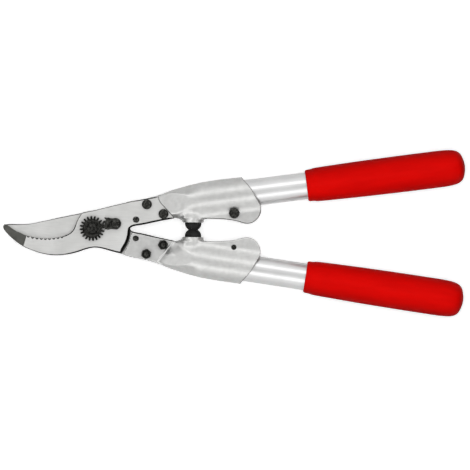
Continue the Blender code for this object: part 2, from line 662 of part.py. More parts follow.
# ----------------------------------------------------------------- fasteners
def make_fasteners(side, parent):
    top = Z_HIGH + GAP
    under = -(Z_HIGH + GAP)
    for label, centre in (("front", FRONT_BOLT), ("rear", REAR_BOLT)):
        turned("%s_bolt_%s" % (side, label), [
            (0.0, top + BOLT_HEAD_T), (BOLT_HEAD_R - 0.5 * MM,
                                       top + BOLT_HEAD_T),
            (BOLT_HEAD_R, top + BOLT_HEAD_T - 0.5 * MM), (BOLT_HEAD_R, top),
            (BOLT_SHAFT_R, top), (BOLT_SHAFT_R, under - NUT_T - 0.4 * MM),
            (BOLT_SHAFT_R - 0.5 * MM, under - NUT_T - 0.9 * MM),
            (0.0, under - NUT_T - 0.9 * MM)],
            20, parent, black_oxide("%s_bolt_%s_black" % (side, label)),
            location=(centre[0], centre[1], 0))
        nut = hex_prism("%s_nut_%s" % (side, label), NUT_AF, under - NUT_T,
                        under, centre, math.radians(12 if label == "front"
                                                    else 40), parent,
                        black_oxide("%s_nut_%s_black" % (side, label)))
        boolean(nut, round_cutter("%s_nut_%s_hole" % (side, label),
                                  BOLT_SHAFT_R + GAP, centre, -20 * MM,
                                  20 * MM, 20, parent))
        freeze(nut)
    end = Z_HIGH + 0.35 * MM
    turned(side + "_locating_pin", [
        (0.0, end), (PIN_R - 0.5 * MM, end), (PIN_R, end - 0.4 * MM),
        (PIN_R, -end + 0.4 * MM), (PIN_R - 0.5 * MM, -end), (0.0, -end)],
        20, parent, black_oxide(side + "_locating_pin_black"),
        location=(LOCATING_PIN[0], LOCATING_PIN[1], 0))

    seat = LOBE_HALF_T + GAP
    screw = turned(side + "_clamp_screw", [
        (0.0, seat + 5.0 * MM), (3.8 * MM, seat + 5.0 * MM),
        (4.3 * MM, seat + 4.5 * MM), (4.3 * MM, seat),
        (BOLT_SHAFT_R, seat), (BOLT_SHAFT_R, -seat - 0.1 * MM),
        (BOLT_SHAFT_R - 0.5 * MM, -seat - 0.6 * MM),
        (0.0, -seat - 0.6 * MM)],
        24, parent, black_oxide(side + "_clamp_screw_black"),
        location=(CLAMP_SCREW[0], CLAMP_SCREW[1], 0))
    freeze(screw)
    key = hex_prism(side + "_clamp_key", 4.0 * MM, seat + 2.5 * MM,
                    seat + 8.0 * MM, (CLAMP_SCREW[0], CLAMP_SCREW[1]),
                    math.radians(20), parent, None)
    parts.objects.unlink(key)
    cutters.objects.link(key)
    key.hide_render = True
    key.display_type = "WIRE"
    boolean(screw, key)
    freeze(screw)
    smooth(screw, 30)


# --------------------------------------------------------------------- pivot
def make_pivot(parent):
    top = Z_HIGH + GAP
    under = -(Z_HIGH + GAP)
    bolt = turned("pivot_bolt", [
        (0.0, top + GEAR_T + 1.0 * MM), (PIVOT_SHAFT_R - 0.6 * MM,
                                         top + GEAR_T + 1.0 * MM),
        (PIVOT_SHAFT_R, top + GEAR_T + 0.4 * MM), (PIVOT_SHAFT_R, under),
        (8.5 * MM, under), (8.5 * MM, under - 2.4 * MM),
        (7.6 * MM, under - 3.4 * MM), (0.0, under - 3.4 * MM)],
        32, parent, black_oxide("pivot_bolt_black"))

    gear = []
    step = 2 * math.pi / GEAR_TEETH
    for k in range(GEAR_TEETH):
        mid = GEAR_PHASE + k * step
        for offset, radius in ((-0.36, GEAR_ROOT_R), (-0.17, GEAR_TIP_R),
                               (0.17, GEAR_TIP_R), (0.36, GEAR_ROOT_R)):
            angle = mid + offset * step
            gear.append((radius * math.cos(angle), radius * math.sin(angle)))
    nut = flat_plate("pivot_nut", gear, [], top + GEAR_T / 2, GEAR_T / 2,
                     parent, black_oxide("pivot_nut_black"))
    hub = turned("pivot_hub", [
        (0.0, top + GEAR_T + HUB_RISE), (5.2 * MM, top + GEAR_T + HUB_RISE),
        (HUB_R, top + GEAR_T + 0.1 * MM), (HUB_R, top + GEAR_T - 1.0 * MM),
        (0.0, top + GEAR_T - 1.0 * MM)], 32, parent, None, True)
    freeze(hub)
    boolean(nut, hub, "UNION")
    boolean(nut, round_cutter("pivot_nut_hole", PIVOT_SHAFT_R + GAP, (0, 0),
                              0, 20 * MM, 32, parent))
    freeze(nut)

    # locking segment: teeth that mesh with the nut, tail under its screw
    outline = []
    for degrees, radius in ((-1.5, 10.7), (1.5, 11.2), (5.0, 11.2),
                            (9.4, 11.2), (12.2, 9.9), (15.8, 9.9),
                            (18.6, 11.3), (22.0, 12.0), (25.5, 11.9),
                            (29.0, 11.3), (33.0, 11.2)):
        angle = math.radians(degrees)
        outline.append((radius * math.cos(angle) * MM,
                        radius * math.sin(angle) * MM))
    tail = scaled(SEGMENT_TAIL)
    outline = outline + tail
    segment = flat_plate("locking_segment", outline,
                         [round_points(SEGMENT_SCREW, 2.0 * MM + GAP, 16)],
                         top + 1.5 * MM, 1.5 * MM, parent,
                         black_oxide("locking_segment_black"))
    seat = top + 3.0 * MM + GAP
    screw = turned("segment_screw", [
        (0.0, seat + 2.4 * MM), (3.7 * MM, seat + 2.4 * MM),
        (4.3 * MM, seat + 1.8 * MM), (4.4 * MM, seat), (2.0 * MM, seat),
        (2.0 * MM, Z_LOW + 0.9 * MM), (1.6 * MM, Z_LOW + 0.4 * MM),
        (0.0, Z_LOW + 0.4 * MM)],
        24, parent, black_oxide("segment_screw_black"),
        location=(SEGMENT_SCREW[0], SEGMENT_SCREW[1], 0))
    freeze(screw)
    slot = box_cutter("segment_slot", (12 * MM, 1.2 * MM, 3 * MM),
                      Matrix.Translation((SEGMENT_SCREW[0], SEGMENT_SCREW[1],
                                          seat + 2.9 * MM))
                      @ Matrix.Rotation(math.radians(35), 4, "Z"), parent)
    boolean(screw, slot)
    freeze(screw)
    smooth(screw, 30)
    return bolt, nut, segment


# --------------------------------------------------------------------- build
make_counter_blade(arms["upper"])
make_cutting_blade(arms["lower"])
for side in ("upper", "lower"):
    make_casting(side, arms[side])
    make_handle(side, arms[side])
    make_fasteners(side, arms[side])
make_pivot(arms["upper"])
bpy.context.view_layer.update()
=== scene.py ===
import math

import bmesh
import bpy
import numpy as np
from mathutils import Matrix, Vector
from mathutils.geometry import tessellate_polygon


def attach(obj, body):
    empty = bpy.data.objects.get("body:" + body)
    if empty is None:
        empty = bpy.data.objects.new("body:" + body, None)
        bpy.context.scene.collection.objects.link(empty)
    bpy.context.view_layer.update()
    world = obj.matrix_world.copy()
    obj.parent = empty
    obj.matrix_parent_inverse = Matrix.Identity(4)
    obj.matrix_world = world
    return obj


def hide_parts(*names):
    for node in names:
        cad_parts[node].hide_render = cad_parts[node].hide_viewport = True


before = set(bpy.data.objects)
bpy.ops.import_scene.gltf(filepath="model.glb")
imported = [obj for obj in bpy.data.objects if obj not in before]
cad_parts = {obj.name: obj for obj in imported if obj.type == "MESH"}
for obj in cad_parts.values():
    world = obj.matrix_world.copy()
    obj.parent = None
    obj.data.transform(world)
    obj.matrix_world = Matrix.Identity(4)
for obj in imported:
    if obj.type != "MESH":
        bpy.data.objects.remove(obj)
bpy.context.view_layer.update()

# Every piece is drawn in arm coordinates in millimetres: pivot at the origin,
# tang on the +Y side, own plate above the contact plane, tongue below it.
# The lower arm is the same set turned half a turn about X.
MM = 0.001
PIVOT_X, PIVOT_Z = -0.12211, 0.0161
GAP = 0.3
Z_LOW, Z_HIGH = 0.15, 4.65
TUBE_ANGLE = math.radians(7.93)
CA, SA = math.cos(TUBE_ANGLE), math.sin(TUBE_ANGLE)
TUBE_Y0, TUBE_R = 13.65, 11.7
TUBE_START, TUBE_END = 96.0, 314.0
BORE_R = TUBE_R + GAP
FRONT_BOLT, REAR_BOLT = (46.9, 21.4), (61.3, 13.3)
LOCATING_PIN, CLAMP_SCREW = (37.7, 8.1), (122.4, 14.6)
SEGMENT_SCREW = (20.3, 4.3)
BUMPER_X, BUMPER_BASE_Y = 87.0, 6.35

ARM = {
    "upper": Matrix.Translation((PIVOT_X, 0, PIVOT_Z)),
    "lower": Matrix.Translation((PIVOT_X, 0, PIVOT_Z))
    @ Matrix.Rotation(math.pi, 4, "X"),
}
BODY = {"upper": "counter_blade_arm", "lower": "cutting_blade_arm"}
# local Z along the tube, local X to its outer side
TUBE = Matrix(((-SA, 0, CA, 0), (CA, 0, SA, TUBE_Y0 * MM), (0, 1, 0, 0),
               (0, 0, 0, 1)))

# ------------------------------------------------------------------ outlines
TANG = [
    (27.0, -17.6), (30.0, -12.2), (31.9, -6.2), (32.6, -0.8),
    (33.1, 0.8), (34.0, 1.7), (35.5, 2.3), (37.5, 2.75), (41.0, 3.35),
    (45.0, 4.1), (49.0, 5.0), (53.0, 5.95), (58.0, 7.05), (64.0, 8.3),
    (70.8, 9.6, "c"), (67.7, 12.95), (64.7, 16.4), (61.7, 19.5),
    (59.6, 21.65), (57.8, 24.05), (56.9, 26.35), (56.6, 28.2, "c"),
    (50.0, 27.0), (41.5, 25.2), (32.5, 23.5), (22.5, 21.2),
]
# how far the end of that plate bows in from a straight line, along the line
BOW = ((-3.0, 0.0, 1.2, 2.4, 3.6, 5.3, 7.1, 9.9, 14.2, 18.9, 23.6),
       (0.0, 0.1, 0.85, 1.3, 1.5, 1.65, 1.6, 1.25, 0.75, 0.5, 0.2))
HOOK = [
    (-75.8, 2.8, "c"), (-77.0, 1.0), (-76.7, -1.2), (-75.2, -3.4),
    (-70.2, -8.5), (-65.3, -12.5), (-60.1, -15.9), (-54.8, -18.4),
    (-49.6, -20.3), (-44.4, -21.9), (-39.2, -23.0), (-34.0, -23.6),
    (-28.8, -23.6), (-23.6, -23.1), (-18.4, -22.2), (-13.3, -20.9),
    (-8.1, -19.1), (-3.0, -17.4), (2.2, -16.5), (7.4, -17.0),
    (12.6, -18.3), (17.8, -19.7), (22.4, -20.8), (24.9, -20.8),
    (26.1, -19.7),
] + TANG + [
    (12.0, 18.5), (1.8, 15.8), (-3.4, 14.8), (-9.0, 13.3),
    (-11.0, 10.4), (-13.2, 6.7), (-14.7, 2.6), (-16.1, -0.8),
    (-18.3, -3.5), (-21.2, -5.5), (-26.1, -7.4), (-32.0, -8.6),
    (-40.0, -9.3), (-48.0, -8.8), (-53.0, -7.8), (-57.3, -6.8),
    (-62.0, -4.7), (-66.0, -3.0), (-70.0, -0.5), (-73.0, 1.6),
]
BLADE = [       # the last number is the width of the ground bevel there
    (-74.9, -2.6, "c", 0.0), (-72.6, 0.4, "", 2.6), (-68.0, 4.6, "", 4.4),
    (-62.0, 8.6, "", 6.0), (-55.0, 12.0, "", 7.4), (-47.0, 14.4, "", 8.2),
    (-39.0, 15.3, "", 8.6), (-31.0, 15.0, "", 8.6), (-24.0, 13.6, "", 8.2),
    (-18.5, 11.6, "", 7.0), (-14.8, 10.6, "", 3.0), (-11.5, 12.0, "", 0.0),
    (-7.0, 14.2, "", 0.0), (0.0, 15.5, "", 0.0), (7.0, 16.3, "", 0.0),
    (14.0, 18.2, "", 0.0), (22.5, 20.8, "", 0.0), (32.5, 23.5, "", 0.0),
    (41.5, 25.2, "", 0.0), (50.0, 27.0, "", 0.0), (56.6, 28.2, "c", 0.0),
    (56.9, 26.35, "", 0.0), (57.8, 24.05, "", 0.0), (59.6, 21.65, "", 0.0),
    (61.7, 19.5, "", 0.0), (64.7, 16.4, "", 0.0), (67.7, 12.95, "", 0.0),
    (70.8, 9.6, "c", 0.0), (64.0, 8.3, "", 0.0), (58.0, 7.05, "", 0.0),
    (53.0, 5.95, "", 0.0), (49.0, 5.0, "", 0.0), (45.0, 4.1, "", 0.0),
    (41.0, 3.35, "", 0.0), (37.5, 2.75, "", 0.0), (35.5, 2.3, "", 0.0),
    (34.0, 1.7, "", 0.0), (33.1, 0.8, "", 0.0), (32.6, -0.8, "", 0.0),
    (31.9, -6.2, "", 0.0), (30.0, -12.2, "", 0.0), (27.0, -17.6, "", 0.0),
    (25.0, -19.2, "", 0.0), (20.0, -18.8, "", 0.0), (10.0, -16.8, "", 0.0),
    (0.0, -14.6, "", 0.0),
    (-9.0, -13.15, "", 0.0), (-18.9, -11.15, "", 0.0), (-29.2, -8.9, "", 0.0),
    (-39.6, -6.45, "", 0.0), (-46.0, -5.0, "", 0.0), (-51.0, -3.85, "", 0.0),
    (-56.5, -3.1, "", 0.0), (-65.5, -2.85, "", 0.0),
    (-70.0, -2.95, "", 0.0),
]
TONGUE = [
    (34.0, 3.1, "c"), (70.5, 10.4, "c"), (76.0, 12.0, "c"),
    (74.0, 33.0, "c"), (59.0, 30.3, "c"),
    (54.5, 28.7), (50.5, 27.6), (42.0, 25.6), (33.5, 24.1), (28.5, 22.75),
    (27.3, 21.5), (29.6, 16.6), (31.6, 11.6), (33.0, 6.6),
]
MOUTH = [(129.8, 44.2), (132.3, 41.4), (135.0, 38.3), (137.3, 35.3),
         (139.2, 32.3), (140.8, 29.4), (142.6, 26.2), (144.1, 23.9),
         (145.1, 21.6), (145.5, 19.0)]
LOBE_EDGE = [(145.4, 16.0), (144.6, 13.4), (143.3, 11.1), (141.3, 8.75),
             (139.0, 7.05), (136.4, 6.1), (133.8, 5.75), (131.0, 6.0),
             (128.0, 6.8), (123.0, 8.1), (118.0, 8.85), (112.5, 9.35),
             (105.0, 9.6), (97.0, 9.75)]
LOBE = [(92.0, 21.0, "c"), (92.0, 9.8, "c")] + LOBE_EDGE[::-1] \
    + MOUTH[::-1][:5] + [(137.0, 30.0, "c")]
REAR = [(20.0, 70.0, "c"), (128.5, 70.0, "c"), (128.5, 45.8, "c")] + MOUTH \
    + LOBE_EDGE[:-1] + [(99.0, 9.7, "c"), (99.0, -20.0, "c"),
                        (20.0, -20.0, "c")]
SEGMENT_TAIL = [
    (9.9, 6.8), (11.0, 6.8), (11.6, 7.4), (11.5, 8.1), (10.8, 8.6),
    (10.3, 9.1), (10.8, 9.7), (12.5, 9.3), (13.9, 9.6), (15.4, 9.1),
    (18.0, 9.0), (20.2, 9.3), (22.3, 8.8), (24.0, 7.4), (24.9, 5.2),
    (24.7, 2.8), (23.5, 0.8), (21.4, -0.5), (19.0, -0.5), (16.6, -0.3),
    (14.0, -0.9), (12.5, -0.7), (11.4, -0.45),
]
NOTCHES = [(-55.1, -7.4), (-51.4, -8.3), (-47.6, -8.9), (-43.8, -9.2),
           (-40.3, -9.3), (-36.8, -9.2), (-33.1, -8.8), (-29.5, -8.3),
           (-26.1, -7.5)]
NOSE_LINE = ((-56.6, -7.0), (-59.2, -16.2))
NOSE_SLOPE = 0.15
GRIP_OUTSIDE = [
    (186.2, 12.3), (186.3, 12.9), (186.8, 13.45), (187.6, 13.75),
    (189.4, 13.85), (191.0, 13.9), (192.0, 14.05), (193.2, 14.4),
    (195.0, 14.6), (203.0, 14.85), (212.0, 15.05), (223.0, 15.3),
    (234.0, 15.5), (248.0, 15.68), (262.0, 15.8), (282.0, 15.88),
    (300.0, 15.88), (304.5, 15.82), (308.5, 15.65), (311.5, 15.4),
    (314.3, 15.0), (316.6, 14.4), (318.5, 13.6), (320.1, 12.45),
    (321.4, 11.0), (322.4, 9.0), (323.2, 6.6), (323.9, 3.6), (324.3, 0.0),
]
BUMPER_OUTSIDE = [
    (0.0, 6.95), (0.15, 7.05), (0.6, 7.13), (1.4, 7.12), (2.35, 6.98),
    (2.9, 6.83), (3.4, 6.63), (3.9, 6.36), (4.4, 6.02), (4.9, 5.62),
    (5.4, 5.16), (5.8, 4.76), (6.1, 4.42), (6.27, 4.2), (6.35, 3.95),
    (6.35, 2.0), (6.35, 0.0),
]


def smooth_outline(points, steps):
    """Centripetal curve through the points; "c" points stay sharp."""
    rows = [(Vector(p[:2]), len(p) > 2 and p[2] == "c",
             p[3] if len(p) > 3 else 0.0) for p in points]
    count, out = len(rows), []
    for i in range(count):
        p0, p1, p2, p3 = (rows[(i + k) % count] for k in (-1, 0, 1, 2))
        before = p1[0] * 2 - p2[0] if p1[1] else p0[0]
        after = p2[0] * 2 - p1[0] if p2[1] else p3[0]
        if p1[1] and p2[1]:
            out.append((p1[0].x, p1[0].y, p1[2]))
            continue
        t1 = max((p1[0] - before).length, 1e-6) ** 0.5
        t2 = t1 + max((p2[0] - p1[0]).length, 1e-6) ** 0.5
        t3 = t2 + max((after - p2[0]).length, 1e-6) ** 0.5
        for k in range(steps):
            u = k / steps
            t = t1 + (t2 - t1) * u
            a1 = before * ((t1 - t) / t1) + p1[0] * (t / t1)
            a2 = (p1[0] * ((t2 - t) / (t2 - t1))
                  + p2[0] * ((t - t1) / (t2 - t1)))
            a3 = (p2[0] * ((t3 - t) / (t3 - t2))
                  + after * ((t - t2) / (t3 - t2)))
            b1 = a1 * ((t2 - t) / t2) + a2 * (t / t2)
            b2 = (a2 * ((t3 - t) / (t3 - t1))
                  + a3 * ((t - t1) / (t3 - t1)))
            q = b1 * ((t2 - t) / (t2 - t1)) + b2 * ((t - t1) / (t2 - t1))
            out.append((q.x, q.y, p1[2] * (1 - u) + p2[2] * u))
    return out


# ----------------------------------------------------------------- materials
class Tree:
    """A small hand for wiring one material's nodes."""

    def __init__(self, name):
        self.mat = bpy.data.materials.new(name)
        self.mat.use_nodes = True
        self.nodes = self.mat.node_tree.nodes
        self.links = self.mat.node_tree.links
        self.shader = self.nodes["Principled BSDF"]
        self.coords = self.add("ShaderNodeTexCoord").outputs["Object"]

    def add(self, kind, **settings):
        node = self.nodes.new(kind)
        for key, value in settings.items():
            setattr(node, key, value)
        return node

    def put(self, value, socket):
        if isinstance(value, bpy.types.NodeSocket):
            self.links.new(value, socket)
        else:
            socket.default_value = value

    def stretch(self, scale, source=None):
        node = self.add("ShaderNodeMapping")
        self.put(source or self.coords, node.inputs["Vector"])
        node.inputs["Scale"].default_value = scale
        return node.outputs["Vector"]

    def noise(self, scale, detail=4.0, rough=0.55, vector=None, distort=0.0):
        node = self.add("ShaderNodeTexNoise")
        self.put(vector or self.coords, node.inputs["Vector"])
        node.inputs["Scale"].default_value = scale
        node.inputs["Detail"].default_value = detail
        node.inputs["Roughness"].default_value = rough
        node.inputs["Distortion"].default_value = distort
        return node.outputs["Fac"]

    def math(self, operation, a, b=0.0, clamp=False):
        node = self.add("ShaderNodeMath", operation=operation,
                        use_clamp=clamp)
        self.put(a, node.inputs[0])
        self.put(b, node.inputs[1])
        return node.outputs[0]

    def ramp(self, value, low, high, out_low, out_high):
        node = self.add("ShaderNodeMapRange")
        self.put(value, node.inputs["Value"])
        node.inputs["From Min"].default_value = low
        node.inputs["From Max"].default_value = high
        node.inputs["To Min"].default_value = out_low
        node.inputs["To Max"].default_value = out_high
        return node.outputs["Result"]

    def blend(self, factor, a, b):
        node = self.add("ShaderNodeMix", data_type="RGBA")
        self.put(factor, node.inputs[0])
        for value, socket in ((a, node.inputs[6]), (b, node.inputs[7])):
            if isinstance(value, tuple):
                value = (*value, 1.0) if len(value) == 3 else value
            self.put(value, socket)
        return node.outputs[2]

    def bump(self, height, distance, strength=1.0, normal=None):
        node = self.add("ShaderNodeBump")
        node.inputs["Strength"].default_value = strength
        node.inputs["Distance"].default_value = distance
        self.put(height, node.inputs["Height"])
        if normal is not None:
            self.put(normal, node.inputs["Normal"])
        return node.outputs["Normal"]

    def finish(self, colour, roughness, metallic, normal=None, **constants):
        self.put(colour, self.shader.inputs["Base Color"])
        self.put(roughness, self.shader.inputs["Roughness"])
        self.shader.inputs["Metallic"].default_value = metallic
        if normal is not None:
            self.put(normal, self.shader.inputs["Normal"])
        for key, value in constants.items():
            self.shader.inputs[key.replace("_", " ")].default_value = value
        return self.mat


def blade_steel(name="blade_steel", shade_radii=None):
    """Ground steel; the optional two radii bound a dark track of painted shade,
    the shadow in the slot between the plates.
    """
    t = Tree(name)
    along = t.noise(1.0, 5, 0.6, t.stretch((90, 2600, 900)))
    cloud = t.noise(55, 3, 0.5)
    fine = t.noise(2400, 2, 0.5)
    tone = t.math("ADD", t.math("MULTIPLY", along, 0.55),
                  t.math("MULTIPLY", cloud, 0.45))
    colour = t.blend(t.ramp(tone, 0.35, 0.65, 0.0, 1.0),
                     (0.545, 0.545, 0.533), (0.66, 0.66, 0.648))
    if shade_radii:
        flat = t.stretch((1, 1, 0))
        length = t.add("ShaderNodeVectorMath", operation="LENGTH")
        t.put(flat, length.inputs[0])
        split = t.add("ShaderNodeSeparateXYZ")
        t.put(t.coords, split.inputs[0])
        radius = length.outputs["Value"]
        # painted shade: a dark track between the two radii, beyond x of about 20
        # mm, where the slot beside the plates' arc lies in shadow
        inside = t.math("MULTIPLY",
                        t.ramp(radius, shade_radii[0], shade_radii[0] + 0.0005, 0, 1),
                        t.ramp(radius, shade_radii[1] - 0.0005, shade_radii[1], 1, 0))
        inside = t.math("MULTIPLY", inside,
                        t.ramp(split.outputs["X"], 0.018, 0.022, 0, 1))
        uneven = t.ramp(t.noise(500, 4, 0.6), 0.3, 0.7, 0.80, 0.97)
        colour = t.blend(t.math("MULTIPLY", inside, uneven), colour,
                         (0.030, 0.030, 0.027))
    rough = t.ramp(along, 0.3, 0.7, 0.34, 0.46)
    height = t.math("ADD", t.math("MULTIPLY", along, 0.7),
                    t.math("MULTIPLY", fine, 0.3))
    return t.finish(colour, rough, 1.0, t.bump(height, 0.00001, 0.5))


def edge_steel():
    t = Tree("edge_steel")
    scale = t.noise(420, 5, 0.6)
    streak = t.noise(1.0, 4, 0.55, t.stretch((500, 500, 3000)))
    colour = t.blend(t.ramp(scale, 0.35, 0.68, 0.0, 1.0),
                     (0.085, 0.085, 0.08), (0.20, 0.20, 0.19))
    rough = t.ramp(streak, 0.3, 0.7, 0.38, 0.56)
    return t.finish(colour, rough, 1.0, t.bump(streak, 0.00002, 0.5))


def scale_and_shade_steel():
    """Dark mill scale left on the punched edges, made near black as painted
    shade where they lie in shadow.
    """
    t = Tree("scale_and_shade_steel")
    scale = t.noise(520, 5, 0.62)
    streak = t.noise(1.0, 4, 0.55, t.stretch((500, 500, 3000)))
    colour = t.blend(t.ramp(scale, 0.35, 0.68, 0.0, 1.0),
                     (0.005, 0.005, 0.005), (0.020, 0.020, 0.019))
    rough = t.ramp(streak, 0.3, 0.7, 0.42, 0.60)
    return t.finish(colour, rough, 1.0, t.bump(streak, 0.00002, 0.5))


def nose_steel():
    t = Tree("nose_steel")
    lines = t.noise(1.0, 4, 0.6, t.stretch((3200, 260, 400)))
    cloud = t.noise(160, 4, 0.5)
    colour = t.blend(t.ramp(cloud, 0.3, 0.7, 0.0, 1.0),
                     (0.070, 0.070, 0.064), (0.098, 0.098, 0.090))
    rough = t.ramp(lines, 0.3, 0.7, 0.40, 0.55)
    return t.finish(colour, rough, 1.0, t.bump(lines, 0.000012, 0.6))


def cast_alloy(name="cast_alloy", dark=None):
    t = Tree(name)
    skin = t.noise(620, 6, 0.62)
    pits = t.noise(2300, 3, 0.5)
    streak = t.noise(1.0, 4, 0.6, t.stretch((70, 1300, 900)))
    cloud = t.noise(42, 3, 0.5)
    tone = t.math("ADD", t.math("MULTIPLY", streak, 0.5),
                  t.math("MULTIPLY", cloud, 0.5))
    blotch = t.noise(230, 3, 0.5)
    colour = t.blend(t.ramp(tone, 0.33, 0.67, 0.0, 1.0),
                     (0.50, 0.50, 0.492), (0.575, 0.575, 0.566))
    colour = t.blend(t.ramp(blotch, 0.35, 0.65, 0.0, 0.55), colour,
                     (0.44, 0.44, 0.432))
    if dark:
        # painted shade: the edges that take this copy are darkened where they
        # turn away from the light
        colour = t.blend(t.ramp(skin, 0.35, 0.65, 0.85, 0.97), colour,
                         (dark, dark, dark * 0.96))
    rough = t.ramp(t.math("ADD", t.math("MULTIPLY", skin, 0.5),
                          t.math("MULTIPLY", streak, 0.5)),
                   0.32, 0.68, 0.36, 0.50)
    height = t.math("ADD", t.math("MULTIPLY", skin, 0.7),
                    t.math("MULTIPLY", pits, 0.3))
    bump = t.bump(height, 0.000045, 0.6)
    bump = t.bump(streak, 0.00002, 0.5, bump)
    bump = t.bump(blotch, 0.00012, 0.35, bump)
    return t.finish(colour, rough, 1.0, bump)


def tube_alloy():
    t = Tree("tube_alloy")
    drawn = t.noise(1.0, 5, 0.6, t.stretch((1500, 1500, 22)))
    cloud = t.noise(70, 3, 0.5)
    colour = t.blend(t.ramp(t.math("ADD", t.math("MULTIPLY", drawn, 0.6),
                                   t.math("MULTIPLY", cloud, 0.4)),
                            0.35, 0.65, 0.0, 1.0),
                     (0.59, 0.59, 0.59), (0.66, 0.66, 0.66))
    rough = t.ramp(drawn, 0.3, 0.7, 0.31, 0.41)
    return t.finish(colour, rough, 1.0, t.bump(drawn, 0.000012, 0.5))


def grip_red():
    t = Tree("grip_red")
    grain = t.noise(900, 4, 0.55)
    flow = t.noise(1.0, 3, 0.5, t.stretch((120, 120, 26)))
    colour = t.blend(t.ramp(flow, 0.3, 0.7, 0.0, 1.0),
                     (0.78, 0.0012, 0.0004), (0.87, 0.0018, 0.0006))
    rough = t.ramp(grain, 0.3, 0.7, 0.38, 0.50)
    bump = t.bump(grain, 0.00004, 0.35)
    bump = t.bump(flow, 0.00035, 0.35, bump)
    return t.finish(colour, rough, 0.0, bump, Specular_IOR_Level=0.015)


def bumper_rubber():
    t = Tree("bumper_rubber")
    grain = t.noise(1500, 5, 0.7)
    cloud = t.noise(300, 3, 0.5)
    colour = t.blend(t.ramp(cloud, 0.3, 0.7, 0.0, 1.0),
                     (0.003, 0.003, 0.003), (0.015, 0.015, 0.015))
    rough = t.ramp(grain, 0.3, 0.7, 0.55, 0.85)
    return t.finish(colour, rough, 0.0, t.bump(grain, 0.00016, 0.6),
                    Specular_IOR_Level=0.22)


def black_fastener(name="black_fastener", turned=False, shade=1.0):
    t = Tree(name)
    mottle = t.noise(420, 4, 0.6)
    wear = t.noise(1100, 4, 0.65)
    colour = t.blend(t.ramp(mottle, 0.38, 0.66, 0.0, 1.0),
                     (0.006 * shade, 0.006 * shade, 0.0055 * shade),
                     (0.050 * shade, 0.050 * shade, 0.046 * shade))
    colour = t.blend(t.ramp(wear, 0.54, 0.70, 0.0, 0.65), colour,
                     (0.16 * shade, 0.16 * shade, 0.148 * shade))
    rough = t.ramp(mottle, 0.3, 0.7, 0.26, 0.44)
    bump = t.bump(wear, 0.00004, 0.6)
    bump = t.bump(mottle, 0.00010, 0.5, bump)
    mat = t.finish(colour, rough, 1.0, bump)
    if turned:
        tangent = t.add("ShaderNodeTangent", direction_type="RADIAL",
                        axis="Z")
        t.put(tangent.outputs[0], t.shader.inputs["Tangent"])
        t.shader.inputs["Anisotropic"].default_value = 0.85
    return mat


STEEL, EDGE, NOSE = blade_steel(), edge_steel(), nose_steel()
# near-black punched edges: real scale, with painted shade added
SCALE_AND_SHADE = scale_and_shade_steel()
# the cutting blade's steel, with a track of painted shade in the slot along the
# arc of the plates
SHADED_TRACK_STEEL = blade_steel("blade_steel_painted_shade", (0.0318, 0.0335))
CAST, TUBE_MAT, RED = cast_alloy(), tube_alloy(), grip_red()
# darkened copies of the cast alloy: painted shade for edges that turn from the
# light
CAST_SHADED_SIDE = cast_alloy("cast_alloy_shaded_side", 0.12)
CAST_SHADED_RIM = cast_alloy("cast_alloy_shaded_rim", 0.15)
RUBBER, BLACK = bumper_rubber(), black_fastener()
TURNED = black_fastener("black_turned", True)
GEAR_BLACK = black_fastener("black_gear", True, 0.6)


# ------------------------------------------------------------------- meshing
def make_object(name, verts, faces, matrix, mats, indices=None):
    """verts in millimetres in the coordinates that matrix places."""
    mesh = bpy.data.meshes.new(name)
    mesh.from_pydata([tuple(c * MM for c in v) for v in verts], [], faces)
    for mat in mats:
        mesh.materials.append(mat)
    if indices is not None:
        mesh.polygons.foreach_set("material_index",
                                  np.asarray(indices, np.int32))
    obj = bpy.data.objects.new(name, mesh)
    bpy.context.scene.collection.objects.link(obj)
    obj.matrix_world = matrix
    return obj


def tidy(obj, angle=32.0, split_materials=False):
    """Faces out, smooth shading, sharp where the surface really turns."""
    bm = bmesh.new()
    bm.from_mesh(obj.data)
    bmesh.ops.remove_doubles(bm, verts=bm.verts, dist=1e-7)
    bmesh.ops.recalc_face_normals(bm, faces=bm.faces)
    bm.normal_update()
    limit = math.radians(angle)
    for face in bm.faces:
        face.smooth = True
    for edge in bm.edges:
        pair = edge.link_faces
        edge.smooth = not (
            len(pair) != 2
            or pair[0].normal.angle(pair[1].normal, 0.0) > limit
            or (split_materials
                and pair[0].material_index != pair[1].material_index))
    bm.to_mesh(obj.data)
    bm.free()
    return obj


def apply_modifiers(obj):
    bpy.context.view_layer.update()
    evaluated = obj.evaluated_get(bpy.context.evaluated_depsgraph_get())
    mesh = bpy.data.meshes.new_from_object(evaluated)
    obj.modifiers.clear()
    old, obj.data = obj.data, mesh
    bpy.data.meshes.remove(old)
    return obj


def cut(obj, cutters):
    for cutter in cutters:
        mod = obj.modifiers.new("cut", "BOOLEAN")
        mod.operation = "DIFFERENCE"
        mod.solver = "EXACT"
        mod.material_mode = "INDEX"
        mod.object = cutter
    apply_modifiers(obj)
    for cutter in cutters:
        bpy.data.objects.remove(cutter, do_unlink=True)
    return obj


def ring_normals(ring):
    """Mitred normals to the left of a closed ring."""
    ring = np.asarray(ring, float)
    before = ring - np.roll(ring, 1, 0)
    after = np.roll(ring, -1, 0) - ring
    before /= np.linalg.norm(before, axis=1)[:, None]
    after /= np.linalg.norm(after, axis=1)[:, None]
    n1 = np.stack([-before[:, 1], before[:, 0]], 1)
    n2 = np.stack([-after[:, 1], after[:, 0]], 1)
    mean = n1 + n2
    mean /= np.maximum(np.linalg.norm(mean, axis=1), 1e-6)[:, None]
    return mean / np.maximum((mean * n1).sum(1), 0.6)[:, None]


def oriented(ring, ccw=True):
    ring = [tuple(p[:2]) for p in ring]
    area = sum(a[0] * b[1] - b[0] * a[1]
               for a, b in zip(ring, ring[1:] + ring[:1]))
    return ring if (area > 0) == ccw else ring[::-1]


